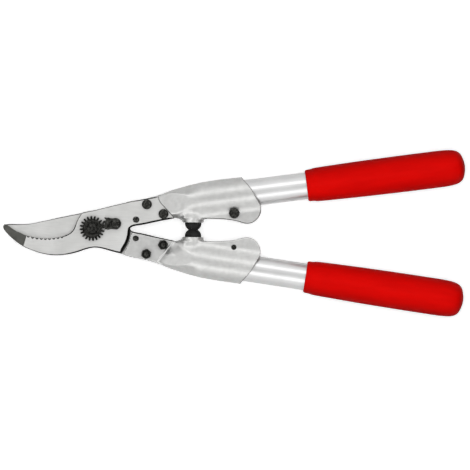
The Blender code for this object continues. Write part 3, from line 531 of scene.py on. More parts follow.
def plate(name, outer, holes, rows, hole_rows, matrix, mats, side_index=1):
    """A plate from rings; rows of (offset into the material, z) go up.

    The first ring's offsets, heights and side materials may be arrays, one
    entry per point.
    """
    verts, faces, kinds = [], [], []
    caps = {0: [], 1: []}
    for number, ring in enumerate([outer] + holes):
        base = np.asarray(ring, float)
        normals = ring_normals(base)
        levels = []
        for offset, z in (hole_rows if number else rows):
            off = np.broadcast_to(np.asarray(offset, float), (len(base),))
            height = np.broadcast_to(np.asarray(z, float), (len(base),))
            start = len(verts)
            points = base + normals * off[:, None]
            verts.extend((p[0], p[1], h) for p, h in zip(points, height))
            levels.append(range(start, start + len(base)))
        side = np.broadcast_to(1 if number else side_index, (len(base),))
        for low, high in zip(levels, levels[1:]):
            for i in range(len(base)):
                j = (i + 1) % len(base)
                faces.append((low[i], low[j], high[j], high[i]))
                kinds.append(int(side[i]))
        caps[0].append(levels[0])
        caps[1].append(levels[-1])
    for which, rings in caps.items():
        flat = [k for ring in rings for k in ring]
        polys = [[Vector(verts[k]) for k in ring] for ring in rings]
        for tri in tessellate_polygon(polys):
            a, b, c = (flat[k] for k in tri)
            (ax, ay, _), (bx, by, _), (cx, cy, _) = verts[a], verts[b], verts[c]
            up = (bx - ax) * (cy - ay) - (by - ay) * (cx - ax) > 0
            if up != bool(which):
                b, c = c, b
            faces.append((a, b, c))
            kinds.append(0)
    return make_object(name, verts, faces, matrix, mats, kinds)


def circle(centre, radius, count, phase=0.0):
    """Runs clockwise, as the rim of a hole does."""
    return [(centre[0] + radius * math.cos(phase - 2 * math.pi * i / count),
             centre[1] + radius * math.sin(phase - 2 * math.pi * i / count))
            for i in range(count)]


def hexagon(af, theta, turn=0.0):
    """Radius of a hexagon at an angle."""
    a = (theta - turn) % (math.pi / 3) - math.pi / 6
    return af / 2 / math.cos(a)


def lathe(name, rows, matrix, mats, count=96, closed=False, shape=None,
          extra=(), angle=32.0, turn=0.0):
    """Turn rows of (radius, z, kind) about local Z; shape bends the radius."""
    angles = sorted(set([round(turn + 2 * math.pi * i / count, 9)
                         for i in range(count)]
                        + [round(a % (2 * math.pi), 9) for a in extra]))
    verts, rings = [], []
    for row in rows:
        r, z, kind = (*row, "")[:3]
        if r <= 1e-6:
            rings.append([len(verts)])
            verts.append((0.0, 0.0, z))
            continue
        ring = []
        for a in angles:
            radius = shape(a, r, z, kind) if shape and kind else r
            ring.append(len(verts))
            verts.append((radius * math.cos(a), radius * math.sin(a), z))
        rings.append(ring)
    faces = []
    pairs = list(zip(rings, rings[1:]))
    if closed:
        pairs.append((rings[-1], rings[0]))
    n = len(angles)
    for a, b in pairs:
        for i in range(n):
            j = (i + 1) % n
            if len(a) == 1 and len(b) == 1:
                break
            if len(a) == 1:
                faces.append((a[0], b[i], b[j]))
            elif len(b) == 1:
                faces.append((a[j], a[i], b[0]))
            else:
                faces.append((a[i], b[i], b[j], a[j]))
    return tidy(make_object(name, verts, faces, matrix, mats), angle)


def thread_shape(pitch, depth):
    def shape(a, r, z, kind):
        phase = (z / pitch + a / (2 * math.pi)) % 1.0
        return r - depth * abs(2 * phase - 1)
    return shape


def thread_rows(radius, z_top, z_bottom, pitch):
    count = max(2, int(round((z_top - z_bottom) / (pitch / 6))))
    return [(radius, z_top + (z_bottom - z_top) * i / count, "thread")
            for i in range(count + 1)]


def show(piece, side, node):
    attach(piece, BODY[side])
    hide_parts(node)


# ------------------------------------------------------------------- casting
class Outline:
    """Signed distance to a closed outline, looked up from a fine grid."""

    def __init__(self, points, low, high, step=0.25):
        ring = np.array([p[:2] for p in points])
        self.low, self.step = np.array(low, float), step
        nx, ny = (int(math.ceil((h - l) / step)) + 1
                  for l, h in zip(low, high))
        x = low[0] + np.arange(nx) * step
        y = low[1] + np.arange(ny) * step
        gx, gy = np.meshgrid(x, y, indexing="ij")
        best = np.full(gx.shape, 1e9)
        inside = np.zeros(gx.shape, bool)
        for (ax, ay), (bx, by) in zip(ring, np.roll(ring, -1, 0)):
            dx, dy = bx - ax, by - ay
            t = np.clip(((gx - ax) * dx + (gy - ay) * dy)
                        / (dx * dx + dy * dy), 0, 1)
            best = np.minimum(best, (gx - ax - t * dx) ** 2
                              + (gy - ay - t * dy) ** 2)
            if ay != by:
                crosses = (ay > gy) != (by > gy)
                inside ^= crosses & (gx < ax + (gy - ay) * dx / dy)
        self.field = np.where(inside, -np.sqrt(best), np.sqrt(best))

    def __call__(self, x, y):
        u = (x - self.low[0]) / self.step
        v = (y - self.low[1]) / self.step
        i = np.clip(np.floor(u).astype(int), 0, self.field.shape[0] - 2)
        j = np.clip(np.floor(v).astype(int), 0, self.field.shape[1] - 2)
        a, b = np.clip(u - i, 0, 1), np.clip(v - j, 0, 1)
        f = self.field
        return ((f[i, j] * (1 - a) + f[i + 1, j] * a) * (1 - b)
                + (f[i, j + 1] * (1 - a) + f[i + 1, j + 1] * a) * b)


def smin(a, b, k):
    h = np.clip(0.5 + 0.5 * (b - a) / k, 0, 1)
    return b * (1 - h) + a * h - k * h * (1 - h)


def smax(a, b, k):
    return -smin(-a, -b, k)


def slab(flat, z, middle, half, r):
    """Plate of an outline with rounded edges."""
    p, q = flat + r, np.abs(z - middle) - half + r
    return (np.minimum(np.maximum(p, q), 0)
            + np.hypot(np.maximum(p, 0), np.maximum(q, 0)) - r)


LOW, HIGH = (26.0, -2.0), (148.0, 52.0)
tongue_line = Outline(smooth_outline(TONGUE, 4), LOW, HIGH)
lobe_line = Outline(smooth_outline(LOBE, 4), LOW, HIGH)
rear_line = Outline(smooth_outline(REAR, 4), LOW, HIGH)


def casting_field(x, y, z):
    """Negative inside the casting, in millimetres."""
    s = x * CA + (y - TUBE_Y0) * SA
    v = -x * SA + (y - TUBE_Y0) * CA
    rho = np.hypot(v, z)
    t = np.clip((s - 55.0) / 46.0, 0.0, 1.0)
    outer = 5.2 + 9.1 * np.sin(t * math.pi / 2) ** 0.9
    u = np.clip((s - 60.0) / 18.0, 0.0, 1.0)
    inner = 11.6 + 2.6 * u * u * (3 - 2 * u)
    # a shoulder where the body leaves the tang
    outer = outer + np.interp(
        s, (60, 66, 72, 78, 84, 90, 98, 106, 112, 120, 135),
        (0.95, 1.1, 0.75, 0.35, 0.0, -0.1, 0.1, 0.35, 0.42, 0.3, 0.25))
    inner = inner + 0.5 * np.clip(1 - np.abs(s - 72.0) / 8.0, 0.0, 1.0)
    w = (0.5 + 0.5 * v / np.maximum(rho, 1e-6)) ** 1.6
    f = rho - (inner + (outer - inner) * w)
    # flat facets that ramp up from the tang, on both sides
    d = (x - 56.95) * 0.7918 + (y - 28.2) * 0.6108
    hollow = 0.5 * np.exp(-np.clip(d, 0.0, 60.0) / 7.0)
    facet = np.where(z > 0, (z - 4.75 - 0.33 * (x - 56.9)) * 0.9496,
                     (-z - 5.9 - 0.275 * (x - 57.0) + hollow) * 0.93)
    # the outer flank starts flat and turns round where the socket begins
    lean = np.radians(np.clip(75.0 - (x - 65.0), 52.0, 75.0))
    swell = np.clip((x - 76.0) / 20.0, 0.0, 1.0)
    swell = swell * swell * (3 - 2 * swell) * (15.3 * (1 - np.sin(lean)))
    flank = (np.sin(lean) * (v - outer) + np.cos(lean) * np.abs(z) - swell)
    f = smax(f, flank, 0.9)
    f = smax(f, facet, 0.3 + 0.6 * np.clip(0.5 - v / 6.0, 0.0, 1.0))
    # clamp lobe, blended into the round body
    edge = lobe_line(x, y)
    lobe = slab(edge, z, 0.0, 7.5, 1.3)
    lobe = np.where(z > 0, smax(slab(edge, z, 0.0, 7.5, 0.4),
                                (edge + z - 6.55) * 0.7071, 0.5), lobe)
    f = smin(f, lobe, 5.5)
    # boss for the bumper
    radial = np.hypot(x - BUMPER_X, z)
    left = np.clip((BUMPER_X - x) / 8.0, 0.0, 1.0)
    flare = 9.05 + 0.25 * left \
        + (0.1 + 0.55 * left) * np.clip(y - 6.9, 0.0, 3.5) \
        + 0.6 * left * np.clip(y - 8.0, 0.0, 2.0)
    rim = BUMPER_BASE_Y - 0.15 * np.clip((radial - 7.2) / 0.3, 0.0, 1.0)
    boss = smax((radial - flare) * 0.85, rim - y, 0.9 - 0.5 * left)
    boss = np.maximum(boss, y - 21.0)
    f = smin(f, boss, 1.7 + 0.6 * left)
    # diagonal front: upright behind the plate, sloping on the tongue's side
    q = (x - 56.95) * 0.6108 - (y - 28.2) * 0.7918
    wall = d + np.interp(q, *BOW)
    steep = 0.88 - 0.38 * np.clip((q - 8.0) / 6.0, 0.0, 1.0)
    ramp = (-z - 4.65 - steep * d - 0.03 * np.clip(d, 0.0, 12.0) ** 2) / 1.25
    f = smax(f, ramp, 1.6)
    front = np.maximum(-wall, (z - 4.65 - 25.0 * wall) / 25.02)
    f = smax(f, front, 0.12)
    # the tongue ends in a low bead where it runs into the facet
    bead = 0.4 * np.cos(np.clip((d + 0.8) / 1.6, -0.5, 0.5) * math.pi) ** 2
    tongue = slab(tongue_line(x, y), np.where(z < -2.4, z + bead, z),
                  -2.4, 2.25,
                  0.25 + 0.3 * np.clip((x - 36.0) / 2.0, 0, 1)
                  + 0.4 * np.clip((y - 18.0) / 3.0, 0, 1))
    # its front edge, along the arc of the plates, is bevelled
    bevel = (-z - 4.65 + 0.3 * (tongue_line(x, y) + 0.9)) * 0.958
    tongue = np.where(x < 36.0, smax(tongue, bevel, 0.1), tongue)
    f = smin(f, tongue, 0.6)
    f = smax(f, -np.maximum(-0.15 - z, wall), 0.15)
    f = smax(f, rear_line(x, y), 0.45)
    # socket, clamp slit and holes
    f = smax(f, -np.maximum(rho - BORE_R, TUBE_START - GAP - s), 0.5)
    f = np.maximum(f, -np.maximum(np.maximum(np.abs(z) - 0.5, v + 8.0),
                                  104.0 - s))
    for centre, radius in ((FRONT_BOLT, 2.8), (REAR_BOLT, 2.8),
                           (LOCATING_PIN, 2.7), (CLAMP_SCREW, 2.3)):
        f = np.maximum(f, radius - np.hypot(x - centre[0], y - centre[1]))
    seat = np.hypot(x - CLAMP_SCREW[0], y - CLAMP_SCREW[1]) - 4.55
    f = np.maximum(f, -np.maximum(seat, 7.5 - z))
    stem = np.maximum(radial - 2.8, y - 12.9)
    return np.maximum(f, -stem)


def contour(field, low, high, step):
    """Dual contouring: corners and creases come out where they are."""
    axes = [np.arange(l, h + step, step) for l, h in zip(low, high)]
    gx, gy, gz = np.meshgrid(*axes, indexing="ij")
    value = field(gx.ravel(), gy.ravel(), gz.ravel()).reshape(gx.shape)
    del gx, gy, gz
    shape = np.array(value.shape)
    cells = shape - 1
    inside = value < 0

    def gradient(p, e=0.04):
        g = np.stack([field(p[:, 0] + e, p[:, 1], p[:, 2])
                      - field(p[:, 0] - e, p[:, 1], p[:, 2]),
                      field(p[:, 0], p[:, 1] + e, p[:, 2])
                      - field(p[:, 0], p[:, 1] - e, p[:, 2]),
                      field(p[:, 0], p[:, 1], p[:, 2] + e)
                      - field(p[:, 0], p[:, 1], p[:, 2] - e)], 1)
        return g / np.maximum(np.linalg.norm(g, axis=1), 1e-9)[:, None]

    total = int(np.prod(cells))
    ata = np.zeros((total, 6))
    atb = np.zeros((total, 3))
    mass = np.zeros((total, 3))
    number = np.zeros(total)
    quads = []
    for axis in range(3):
        a = [slice(None)] * 3
        b = [slice(None)] * 3
        a[axis], b[axis] = slice(None, -1), slice(1, None)
        crossing = inside[tuple(a)] != inside[tuple(b)]
        index = np.argwhere(crossing)
        others = [k for k in range(3) if k != axis]
        keep = np.ones(len(index), bool)
        for k in others:
            keep &= (index[:, k] > 0) & (index[:, k] < shape[k] - 1)
        index = index[keep]
        start = np.stack([axes[k][index[:, k]] for k in range(3)], 1)
        end = start.copy()
        end[:, axis] += step
        stop = index.copy()
        stop[:, axis] += 1
        fa = value[tuple(index.T)]
        fb = value[tuple(stop.T)]
        lo, hi = np.zeros(len(index)), np.ones(len(index))
        t = fa / (fa - fb)
        for _ in range(4):
            p = start + (end - start) * t[:, None]
            ft = field(p[:, 0], p[:, 1], p[:, 2])
            same = (ft < 0) == (fa < 0)
            lo, fa = np.where(same, t, lo), np.where(same, ft, fa)
            hi, fb = np.where(same, hi, t), np.where(same, fb, ft)
            t = lo + (hi - lo) * np.clip(fa / np.where(fa == fb, 1, fa - fb),
                                         0.05, 0.95)
        p = start + (end - start) * t[:, None]
        n = gradient(p)
        flat = []
        for da, db in ((-1, -1), (0, -1), (0, 0), (-1, 0)):
            cell = index.copy()
            cell[:, others[0]] += da
            cell[:, others[1]] += db
            flat.append(np.ravel_multi_index(tuple(cell.T), tuple(cells)))
        products = np.stack([n[:, 0] ** 2, n[:, 1] ** 2, n[:, 2] ** 2,
                             n[:, 0] * n[:, 1], n[:, 0] * n[:, 2],
                             n[:, 1] * n[:, 2]], 1)
        dots = (n * p).sum(1)
        for ids in flat:
            for c in range(6):
                ata[:, c] += np.bincount(ids, products[:, c], total)
            for c in range(3):
                atb[:, c] += np.bincount(ids, n[:, c] * dots, total)
                mass[:, c] += np.bincount(ids, p[:, c], total)
            number += np.bincount(ids, minlength=total)
        quad = np.stack(flat, 1)
        flip = inside[tuple(index.T)]
        if axis == 1:
            flip = ~flip
        quad[~flip] = quad[~flip][:, ::-1]
        quads.append(quad)
    quads = np.concatenate(quads)
    used = np.flatnonzero(number > 0)
    mass = mass[used] / number[used][:, None]
    weak = 0.04 * number[used]
    m = np.zeros((len(used), 3, 3))
    for c, (i, j) in enumerate(((0, 0), (1, 1), (2, 2), (0, 1), (0, 2),
                                (1, 2))):
        m[:, i, j] = m[:, j, i] = ata[used, c]
    right = atb[used] - np.einsum("nij,nj->ni", m, mass)
    m[:, [0, 1, 2], [0, 1, 2]] += weak[:, None]
    move = np.linalg.solve(m, right[:, :, None])[:, :, 0]
    corner = np.stack(np.unravel_index(used, tuple(cells)), 1)
    centre = np.array(low) + (corner + 0.5) * step
    points = np.clip(mass + move, centre - step * 0.6, centre + step * 0.6)
    renumber = np.full(total, -1)
    renumber[used] = np.arange(len(used))
    quads = renumber[quads]
    # each corner's own normal, read a little way into its face
    centres = points[quads].mean(1)
    near = points[quads] * 0.72 + centres[:, None] * 0.28
    normals = gradient(near.reshape(-1, 3))
    return points, quads, normals


def make_castings():
    step = 0.6
    points, quads, normals = contour(
        casting_field, (26.2, 1.0, -15.5), (146.6, 50.0, 15.5), step)
    x, y, z = points[quads].mean(1).T
    # painted shade: kind 1 darkens the tongue's sides, kind 2 the lobe's rounded
    # edge and the rim near the mouth
    kinds = np.zeros(len(quads), np.int32)
    beside = (np.abs(z) < 4.5) & (x < 58.5) & (tongue_line(x, y) > -0.45)
    kinds[beside] = 1
    kinds[(z > 5.5) & (z < 7.38) & (lobe_line(x, y) > -1.1) & (x > 97)
          & (y < 20)] = 2
    kinds[(rear_line(x, y) > -0.6) & (x > 125) & (y > 19)] = 2
    for side in ("upper", "lower"):
        name = side + "_casting_cast"
        mesh = bpy.data.meshes.new(name)
        mesh.vertices.add(len(points))
        mesh.vertices.foreach_set("co", (points * MM).ravel())
        mesh.loops.add(quads.size)
        mesh.loops.foreach_set("vertex_index",
                               quads.ravel().astype(np.int32))
        mesh.polygons.add(len(quads))
        mesh.polygons.foreach_set(
            "loop_start", np.arange(0, quads.size, 4, dtype=np.int32))
        mesh.polygons.foreach_set(
            "loop_total", np.full(len(quads), 4, np.int32))
        mesh.update(calc_edges=True)
        mesh.polygons.foreach_set("use_smooth",
                                  np.ones(len(quads), bool))
        mesh.normals_split_custom_set(normals.tolist())
        for mat in (CAST, CAST_SHADED_SIDE, CAST_SHADED_RIM):
            mesh.materials.append(mat)
        mesh.polygons.foreach_set("material_index", kinds)
        obj = bpy.data.objects.new(name, mesh)
        bpy.context.scene.collection.objects.link(obj)
        obj.matrix_world = ARM[side]
        show(obj, side, side + "_casting")


# -------------------------------------------------------------------- blades
def edge_rows(bottom, top, low=0.4, high=0.6):
    """Plate edge: a small round below, a worn slope and round above."""
    return [(low, bottom), (low * 0.29, bottom + low * 0.29),
            (0.0, bottom + low), (0.0, top - high * 1.25),
            (high * 0.12, top - high * 0.8), (high * 0.42, top - high * 0.36),
            (high * 0.78, top - high * 0.1), (high, top)]


def edge_widths(outer, back, belly, arc, inner):
    """Width of the rounded edge at each point of a plate: narrow along the
    ground back, wider on the belly, widest on the arc behind the pivot and
    along the inner side of the tang."""
    normals = -ring_normals(outer)
    x = np.array([p[0] for p in outer])
    y = np.array([p[1] for p in outer])
    belly = np.interp(x, *belly) if isinstance(belly, tuple) else belly
    back = np.interp(x, *back) if isinstance(back, tuple) else back
    width = (back + belly) / 2 + (back - belly) / 2 * np.clip(
        normals[:, 1] * 1.3, -1, 1)
    on_arc = (np.clip((normals[:, 0] - 0.5) / 0.35, 0, 1)
              * ((x > 24) & (x < 34) & (y < 3)))
    width = width * (1 - on_arc) + arc * on_arc
    on_inner = np.clip(-normals[:, 1] / 0.6, 0, 1) * ((x > 33) & (y > 0))
    width = width * (1 - on_inner) + inner * on_inner
    # the end of the tang lies against the casting and keeps a crisp edge
    on_end = (normals[:, 0] > 0.6) & (x > 50)
    width = np.where(on_end, 0.12, width)
    # the biting edge between the notches is ground sharp
    biting = (normals[:, 1] > 0.8) & (x > -57) & (x < -25.5) & (y < -5)
    width = np.where(biting, 0.1, width)
    # and the throat behind them has a worn edge
    throat = (x > -25.5) & (x < -12.0) & (y > -8) & (y < 3)
    width = np.where(throat, 0.8, width)
    for _ in range(4):
        width = (np.roll(width, 1) + 2 * width + np.roll(width, -1)) / 4
    return width


def edge_kinds(outer, dark):
    """Side material at each point: scale where the edge is as punched and along
    the tang's inner edge, darkened further as painted shade.
    """
    width = edge_widths(outer, 0.0, 0.7, 1.0, 1.0)
    x = np.array([p[0] for p in outer])
    return np.where((width > 0.5) | ((x > 38) & (x < 60)), dark, 1)


# edge widths at points along X: the counter blade's back and belly, and the
# back of the cutting blade, which shows beside it
BACK = ((-10, -8, -4, 0, 10, 25, 36, 44, 56),
        (0.5, 0.85, 0.8, 0.62, 0.65, 0.64, 0.52, 0.7, 0.9))
BELLY = ((-60, -45, -35, -25, -17, -5, 2, 9, 24),
         (0.5, 0.58, 0.8, 0.8, 1.15, 1.2, 0.95, 1.2, 1.4))
SPINE = ((-76, -66, -58, -48, -38, -30, -12),
         (0.8, 0.66, 0.5, 0.4, 0.42, 0.58, 0.62))


HOLE_ROWS = edge_rows(Z_LOW, Z_HIGH, 0.2, 0.25)
PLATE_HOLES = [circle((0, 0), 4.3, 48), circle(FRONT_BOLT, 2.8, 32),
               circle(REAR_BOLT, 2.8, 32), circle(LOCATING_PIN, 2.65, 32)]


def make_counter_blade():
    outer = oriented(smooth_outline(HOOK, 5))
    holes = PLATE_HOLES + [circle(SEGMENT_SCREW, 2.3, 24)]
    obj = plate("counter_blade_ground", outer, holes,
                edge_rows(Z_LOW, Z_HIGH, edge_widths(outer, 0.3, 0.35, 0.5, 0.9),
                          edge_widths(outer, BACK, BELLY, 2.0, 1.5)),
                HOLE_ROWS, Matrix.Identity(4), [STEEL, EDGE, NOSE, SCALE_AND_SHADE],
                edge_kinds(outer, 3))
    cutters = []
    for index, (x, y) in enumerate(NOTCHES):
        # small sloping bites out of the edge, longer than they are deep
        before = NOTCHES[max(index - 1, 0)]
        after = NOTCHES[min(index + 1, len(NOTCHES) - 1)]
        lean = math.atan2(after[1] - before[1], after[0] - before[0])
        c = lathe("notch", [(0, 6), (1.45, 6), (1.45, Z_HIGH + 0.02),
                            (1.3, Z_HIGH - 0.25), (0.4, 1.6), (0.4, -1),
                            (0, -1)],
                  Matrix.Translation(((x + math.sin(lean) * -0.2) * MM,
                                      (y + math.cos(lean) * 0.2) * MM, 0))
                  @ Matrix.Rotation(lean, 4, "Z")
                  @ Matrix.Scale(0.95, 4, Vector((1, 0, 0))), [EDGE], 20)
        # the notch walls take the scale steel, partly painted shade
        for _ in range(3):
            c.data.materials.append(SCALE_AND_SHADE)
        c.data.polygons.foreach_set(
            "material_index", np.full(len(c.data.polygons), 3, np.int32))
        cutters.append(c)
    # the ground nose falls away towards the tip
    a = Vector((*NOSE_LINE[0], 0.0))
    b = Vector((*NOSE_LINE[1], 0.0))
    along = (b - a).normalized()
    ahead = Vector((along.y, -along.x, 0))
    if ahead.x > 0:
        ahead = -ahead
    forward = (ahead + Vector((0, 0, -NOSE_SLOPE))).normalized()
    up = along.cross(forward)
    if up.z < 0:
        up = -up
    turn = Matrix((forward, up.cross(forward), up)).transposed().to_4x4()
    turn.translation = ((a + b) / 2 + Vector((0, 0, Z_HIGH))
                        + forward * 20 + up * 10) * MM
    bm = bmesh.new()
    bmesh.ops.create_cube(bm, size=1.0)
    bmesh.ops.scale(bm, vec=(0.04, 0.06, 0.02), verts=bm.verts)
    bmesh.ops.transform(bm, matrix=turn, verts=bm.verts)
    bmesh.ops.recalc_face_normals(bm, faces=bm.faces)
    for face in bm.faces:
        face.material_index = 2
    mesh = bpy.data.meshes.new("nose_cut")
    bm.to_mesh(mesh)
    bm.free()
    for mat in (STEEL, EDGE, NOSE, SCALE_AND_SHADE):
        mesh.materials.append(mat)
    cutter = bpy.data.objects.new("nose_cut", mesh)
    bpy.context.scene.collection.objects.link(cutter)
    cut(obj, cutters + [cutter])
    tidy(obj, 30, True)
    obj.matrix_world = ARM["upper"]
    show(obj, "upper", "counter_blade")


def make_cutting_blade():
    rows = smooth_outline(BLADE, 5)
    area = sum(a[0] * b[1] - b[0] * a[1]
               for a, b in zip(rows, rows[1:] + rows[:1]))
    if area < 0:
        rows = rows[::-1]
    width = np.array([r[2] for r in rows])
    ground = np.clip(width / 1.6, 0, 1)
    ground = ground * ground * (3 - 2 * ground)
    low, high = Z_LOW, Z_HIGH
    ring = [(r[0], r[1]) for r in rows]
    plain = edge_rows(low, high, edge_widths(ring, 0.4, SPINE, 0.5, 1.0),
                      edge_widths(ring, 0.5, 0.9, 1.8, 1.4))
    # hollow-ground bevel: share of the width, share of the height
    hollow = [(0.0, 0.0), (0.0, 0.012), (0.0, 0.05), (0.20, 0.20),
              (0.42, 0.37), (0.64, 0.57), (0.84, 0.79), (1.0, 1.0)]
    levels = []
    for (offset, z), (share, rise) in zip(plain, hollow):
        levels.append((offset * (1 - ground) + share * width * ground,
                       z * (1 - ground)
                       + (low + rise * (high - low)) * ground))
    outer = [(r[0], r[1]) for r in rows]
    obj = plate("cutting_blade_ground", outer, PLATE_HOLES, levels,
                HOLE_ROWS, Matrix.Identity(4), [SHADED_TRACK_STEEL, EDGE, SCALE_AND_SHADE],
                edge_kinds(outer, 2))
    # bevel faces are ground like the flats
    side = np.array([p.material_index for p in obj.data.polygons])
    count = len(outer)
    for k in range((len(levels) - 1) * count):
        i = k % count
        if ground[i] > 0.5 and ground[(i + 1) % count] > 0.5:
            side[k] = 0
    obj.data.polygons.foreach_set("material_index", side.astype(np.int32))
    tidy(obj, 24, True)
    obj.matrix_world = ARM["lower"]
    show(obj, "lower", "cutting_blade")


# ------------------------------------------------------------------- handles
def make_handle(side):
    at = ARM[side] @ TUBE
    wall = TUBE_R - 1.5
    tube = lathe(side + "_tube_drawn", [
        (TUBE_R - 0.3, TUBE_END), (TUBE_R, TUBE_END - 0.3),
        (TUBE_R, 250.0), (TUBE_R, 180.0), (TUBE_R, 150.0), (TUBE_R, 120.0),
        (TUBE_R, TUBE_START + 0.3), (TUBE_R - 0.3, TUBE_START),
        (wall + 0.3, TUBE_START), (wall, TUBE_START + 0.3),
        (wall, TUBE_END - 0.3), (wall + 0.3, TUBE_END)],
        at, [TUBE_MAT], 96, closed=True)
    show(tube, side, side + "_tube")
    rows = [(r, s) for s, r in reversed(GRIP_OUTSIDE)]
    rows += [(BORE_R + 0.25, GRIP_OUTSIDE[0][0] - 0.0),
             (BORE_R, GRIP_OUTSIDE[0][0] + 0.3), (BORE_R, TUBE_END + GAP),
             (0.0, TUBE_END + GAP)]
    grip = lathe(side + "_grip_sleeve", rows, at, [RED], 112, angle=50)
    show(grip, side, side + "_grip")

    # local Z of the bumper points from its boss to the other bumper
    base = BUMPER_BASE_Y - 0.03
    out = ARM[side] @ Matrix.Translation((BUMPER_X * MM, base * MM, 0)) \
        @ Matrix.Rotation(math.pi / 2, 4, "X")
    squeeze = (base - 0.005) / 6.35
    rows = [(r, d * squeeze) for d, r in reversed(BUMPER_OUTSIDE)]
    rows += [(2.5, 0.0), (2.5, -5.6), (2.1, -6.0), (0.0, -6.0)]
    bumper = lathe(side + "_bumper_dome", rows, out, [RUBBER], 64, angle=50)
    show(bumper, side, side + "_bumper")


# ----------------------------------------------------------------- fasteners
def at_point(side, centre, z=0.0, turn=0.0):
    return (ARM[side] @ Matrix.Translation((centre[0] * MM, centre[1] * MM,
                                            z * MM))
            @ Matrix.Rotation(turn, 4, "Z"))


def make_bolts(side):
    top, under = Z_HIGH + GAP, -(Z_HIGH + GAP)
    for label, centre, turn in (("front", FRONT_BOLT, 40.0),
                                ("rear", REAR_BOLT, 55.0)):
        end = under - 4.9
        rows = [(0.0, top + 2.35), (0.55, top + 2.4), (0.9, top + 2.62),
                (2.9, top + 2.58), (3.1, top + 2.45), (3.4, top + 2.45),
                (3.55, top + 2.5), (3.95, top + 2.3), (4.22, top + 2.0),
                (4.3, top + 1.7), (4.3, top + 0.25), (4.15, top),
                (2.5, top)]
        rows += [(2.5, -2.0)] + thread_rows(2.5, -2.0, end + 0.5, 0.8)
        rows += [(2.0, end + 0.1), (1.8, end), (0.0, end)]
        bolt = lathe("%s_bolt_%s_head" % (side, label), rows,
                     at_point(side, centre), [TURNED], 48,
                     shape=thread_shape(0.8, 0.4), angle=28)
        show(bolt, side, "%s_bolt_%s" % (side, label))

        def nut_shape(a, r, z, kind):
            return min(hexagon(8.0, a), r) if kind == "hex" else r
        z1, z0 = under, under - 4.0
        rows = [(2.8, z1 - 0.3), (3.05, z1), (3.7, z1), (4.05, z1 - 0.14, "hex"),
                (4.3, z1 - 0.4, "hex"), (4.42, z1 - 0.8, "hex"),
                (4.42, z1 - 2.0, "hex"), (4.42, z0 + 0.8, "hex"),
                (4.3, z0 + 0.4, "hex"), (4.05, z0 + 0.14, "hex"),
                (3.7, z0), (3.05, z0), (2.8, z0 + 0.3)]
        nut = lathe("%s_nut_%s_hex" % (side, label), rows,
                    at_point(side, centre, 0, math.radians(turn)), [BLACK],
                    96, closed=True, shape=nut_shape, angle=28)
        show(nut, side, "%s_nut_%s" % (side, label))

    end = Z_HIGH + 0.35
    rows = [(0.0, end - 0.2), (0.9, end - 0.15), (1.35, end), (1.9, end),
            (2.3, end - 0.12), (2.5, end - 0.4), (2.5, -end + 0.4),
            (2.3, -end + 0.12), (1.9, -end), (1.35, -end),
            (0.9, -end + 0.15), (0.0, -end + 0.2)]
    pin = lathe(side + "_locating_pin_turned", rows,
                at_point(side, LOCATING_PIN), [TURNED], 40, angle=28)
    show(pin, side, side + "_locating_pin")

    seat = 7.5 + GAP

    def head_shape(a, r, z, kind):
        if kind == "key":
            return hexagon(4.0, a, math.radians(20))
        if kind == "knurl":
            return r - 0.07 + 0.07 * math.cos(36 * a)
        phase = (z / 0.8 + a / (2 * math.pi)) % 1.0
        return r - 0.4 * abs(2 * phase - 1)
    rows = [(0.0, seat + 0.9), (1.4, seat + 1.5), (2.0, seat + 1.6, "key"),
            (2.0, seat + 3.75, "key"), (2.55, seat + 4.0), (3.55, seat + 4.0),
            (3.95, seat + 3.85), (4.3, seat + 3.5), (4.42, seat + 3.3, "knurl"),
            (4.42, seat + 0.4, "knurl"), (4.1, seat), (2.2, seat),
            (2.2, -1.5)]
    rows += thread_rows(2.2, -1.5, -seat - 0.15, 0.8)
    rows += [(1.9, -seat - 0.5), (1.6, -seat - 0.6), (0.5, -seat - 0.6),
             (0.0, -seat - 0.45)]
    screw = lathe(side + "_clamp_screw_cap", rows,
                  at_point(side, CLAMP_SCREW), [BLACK], 144,
                  shape=head_shape, angle=28,
                  extra=[math.radians(20 + 60 * k) for k in range(6)])
    show(screw, side, side + "_clamp_screw")


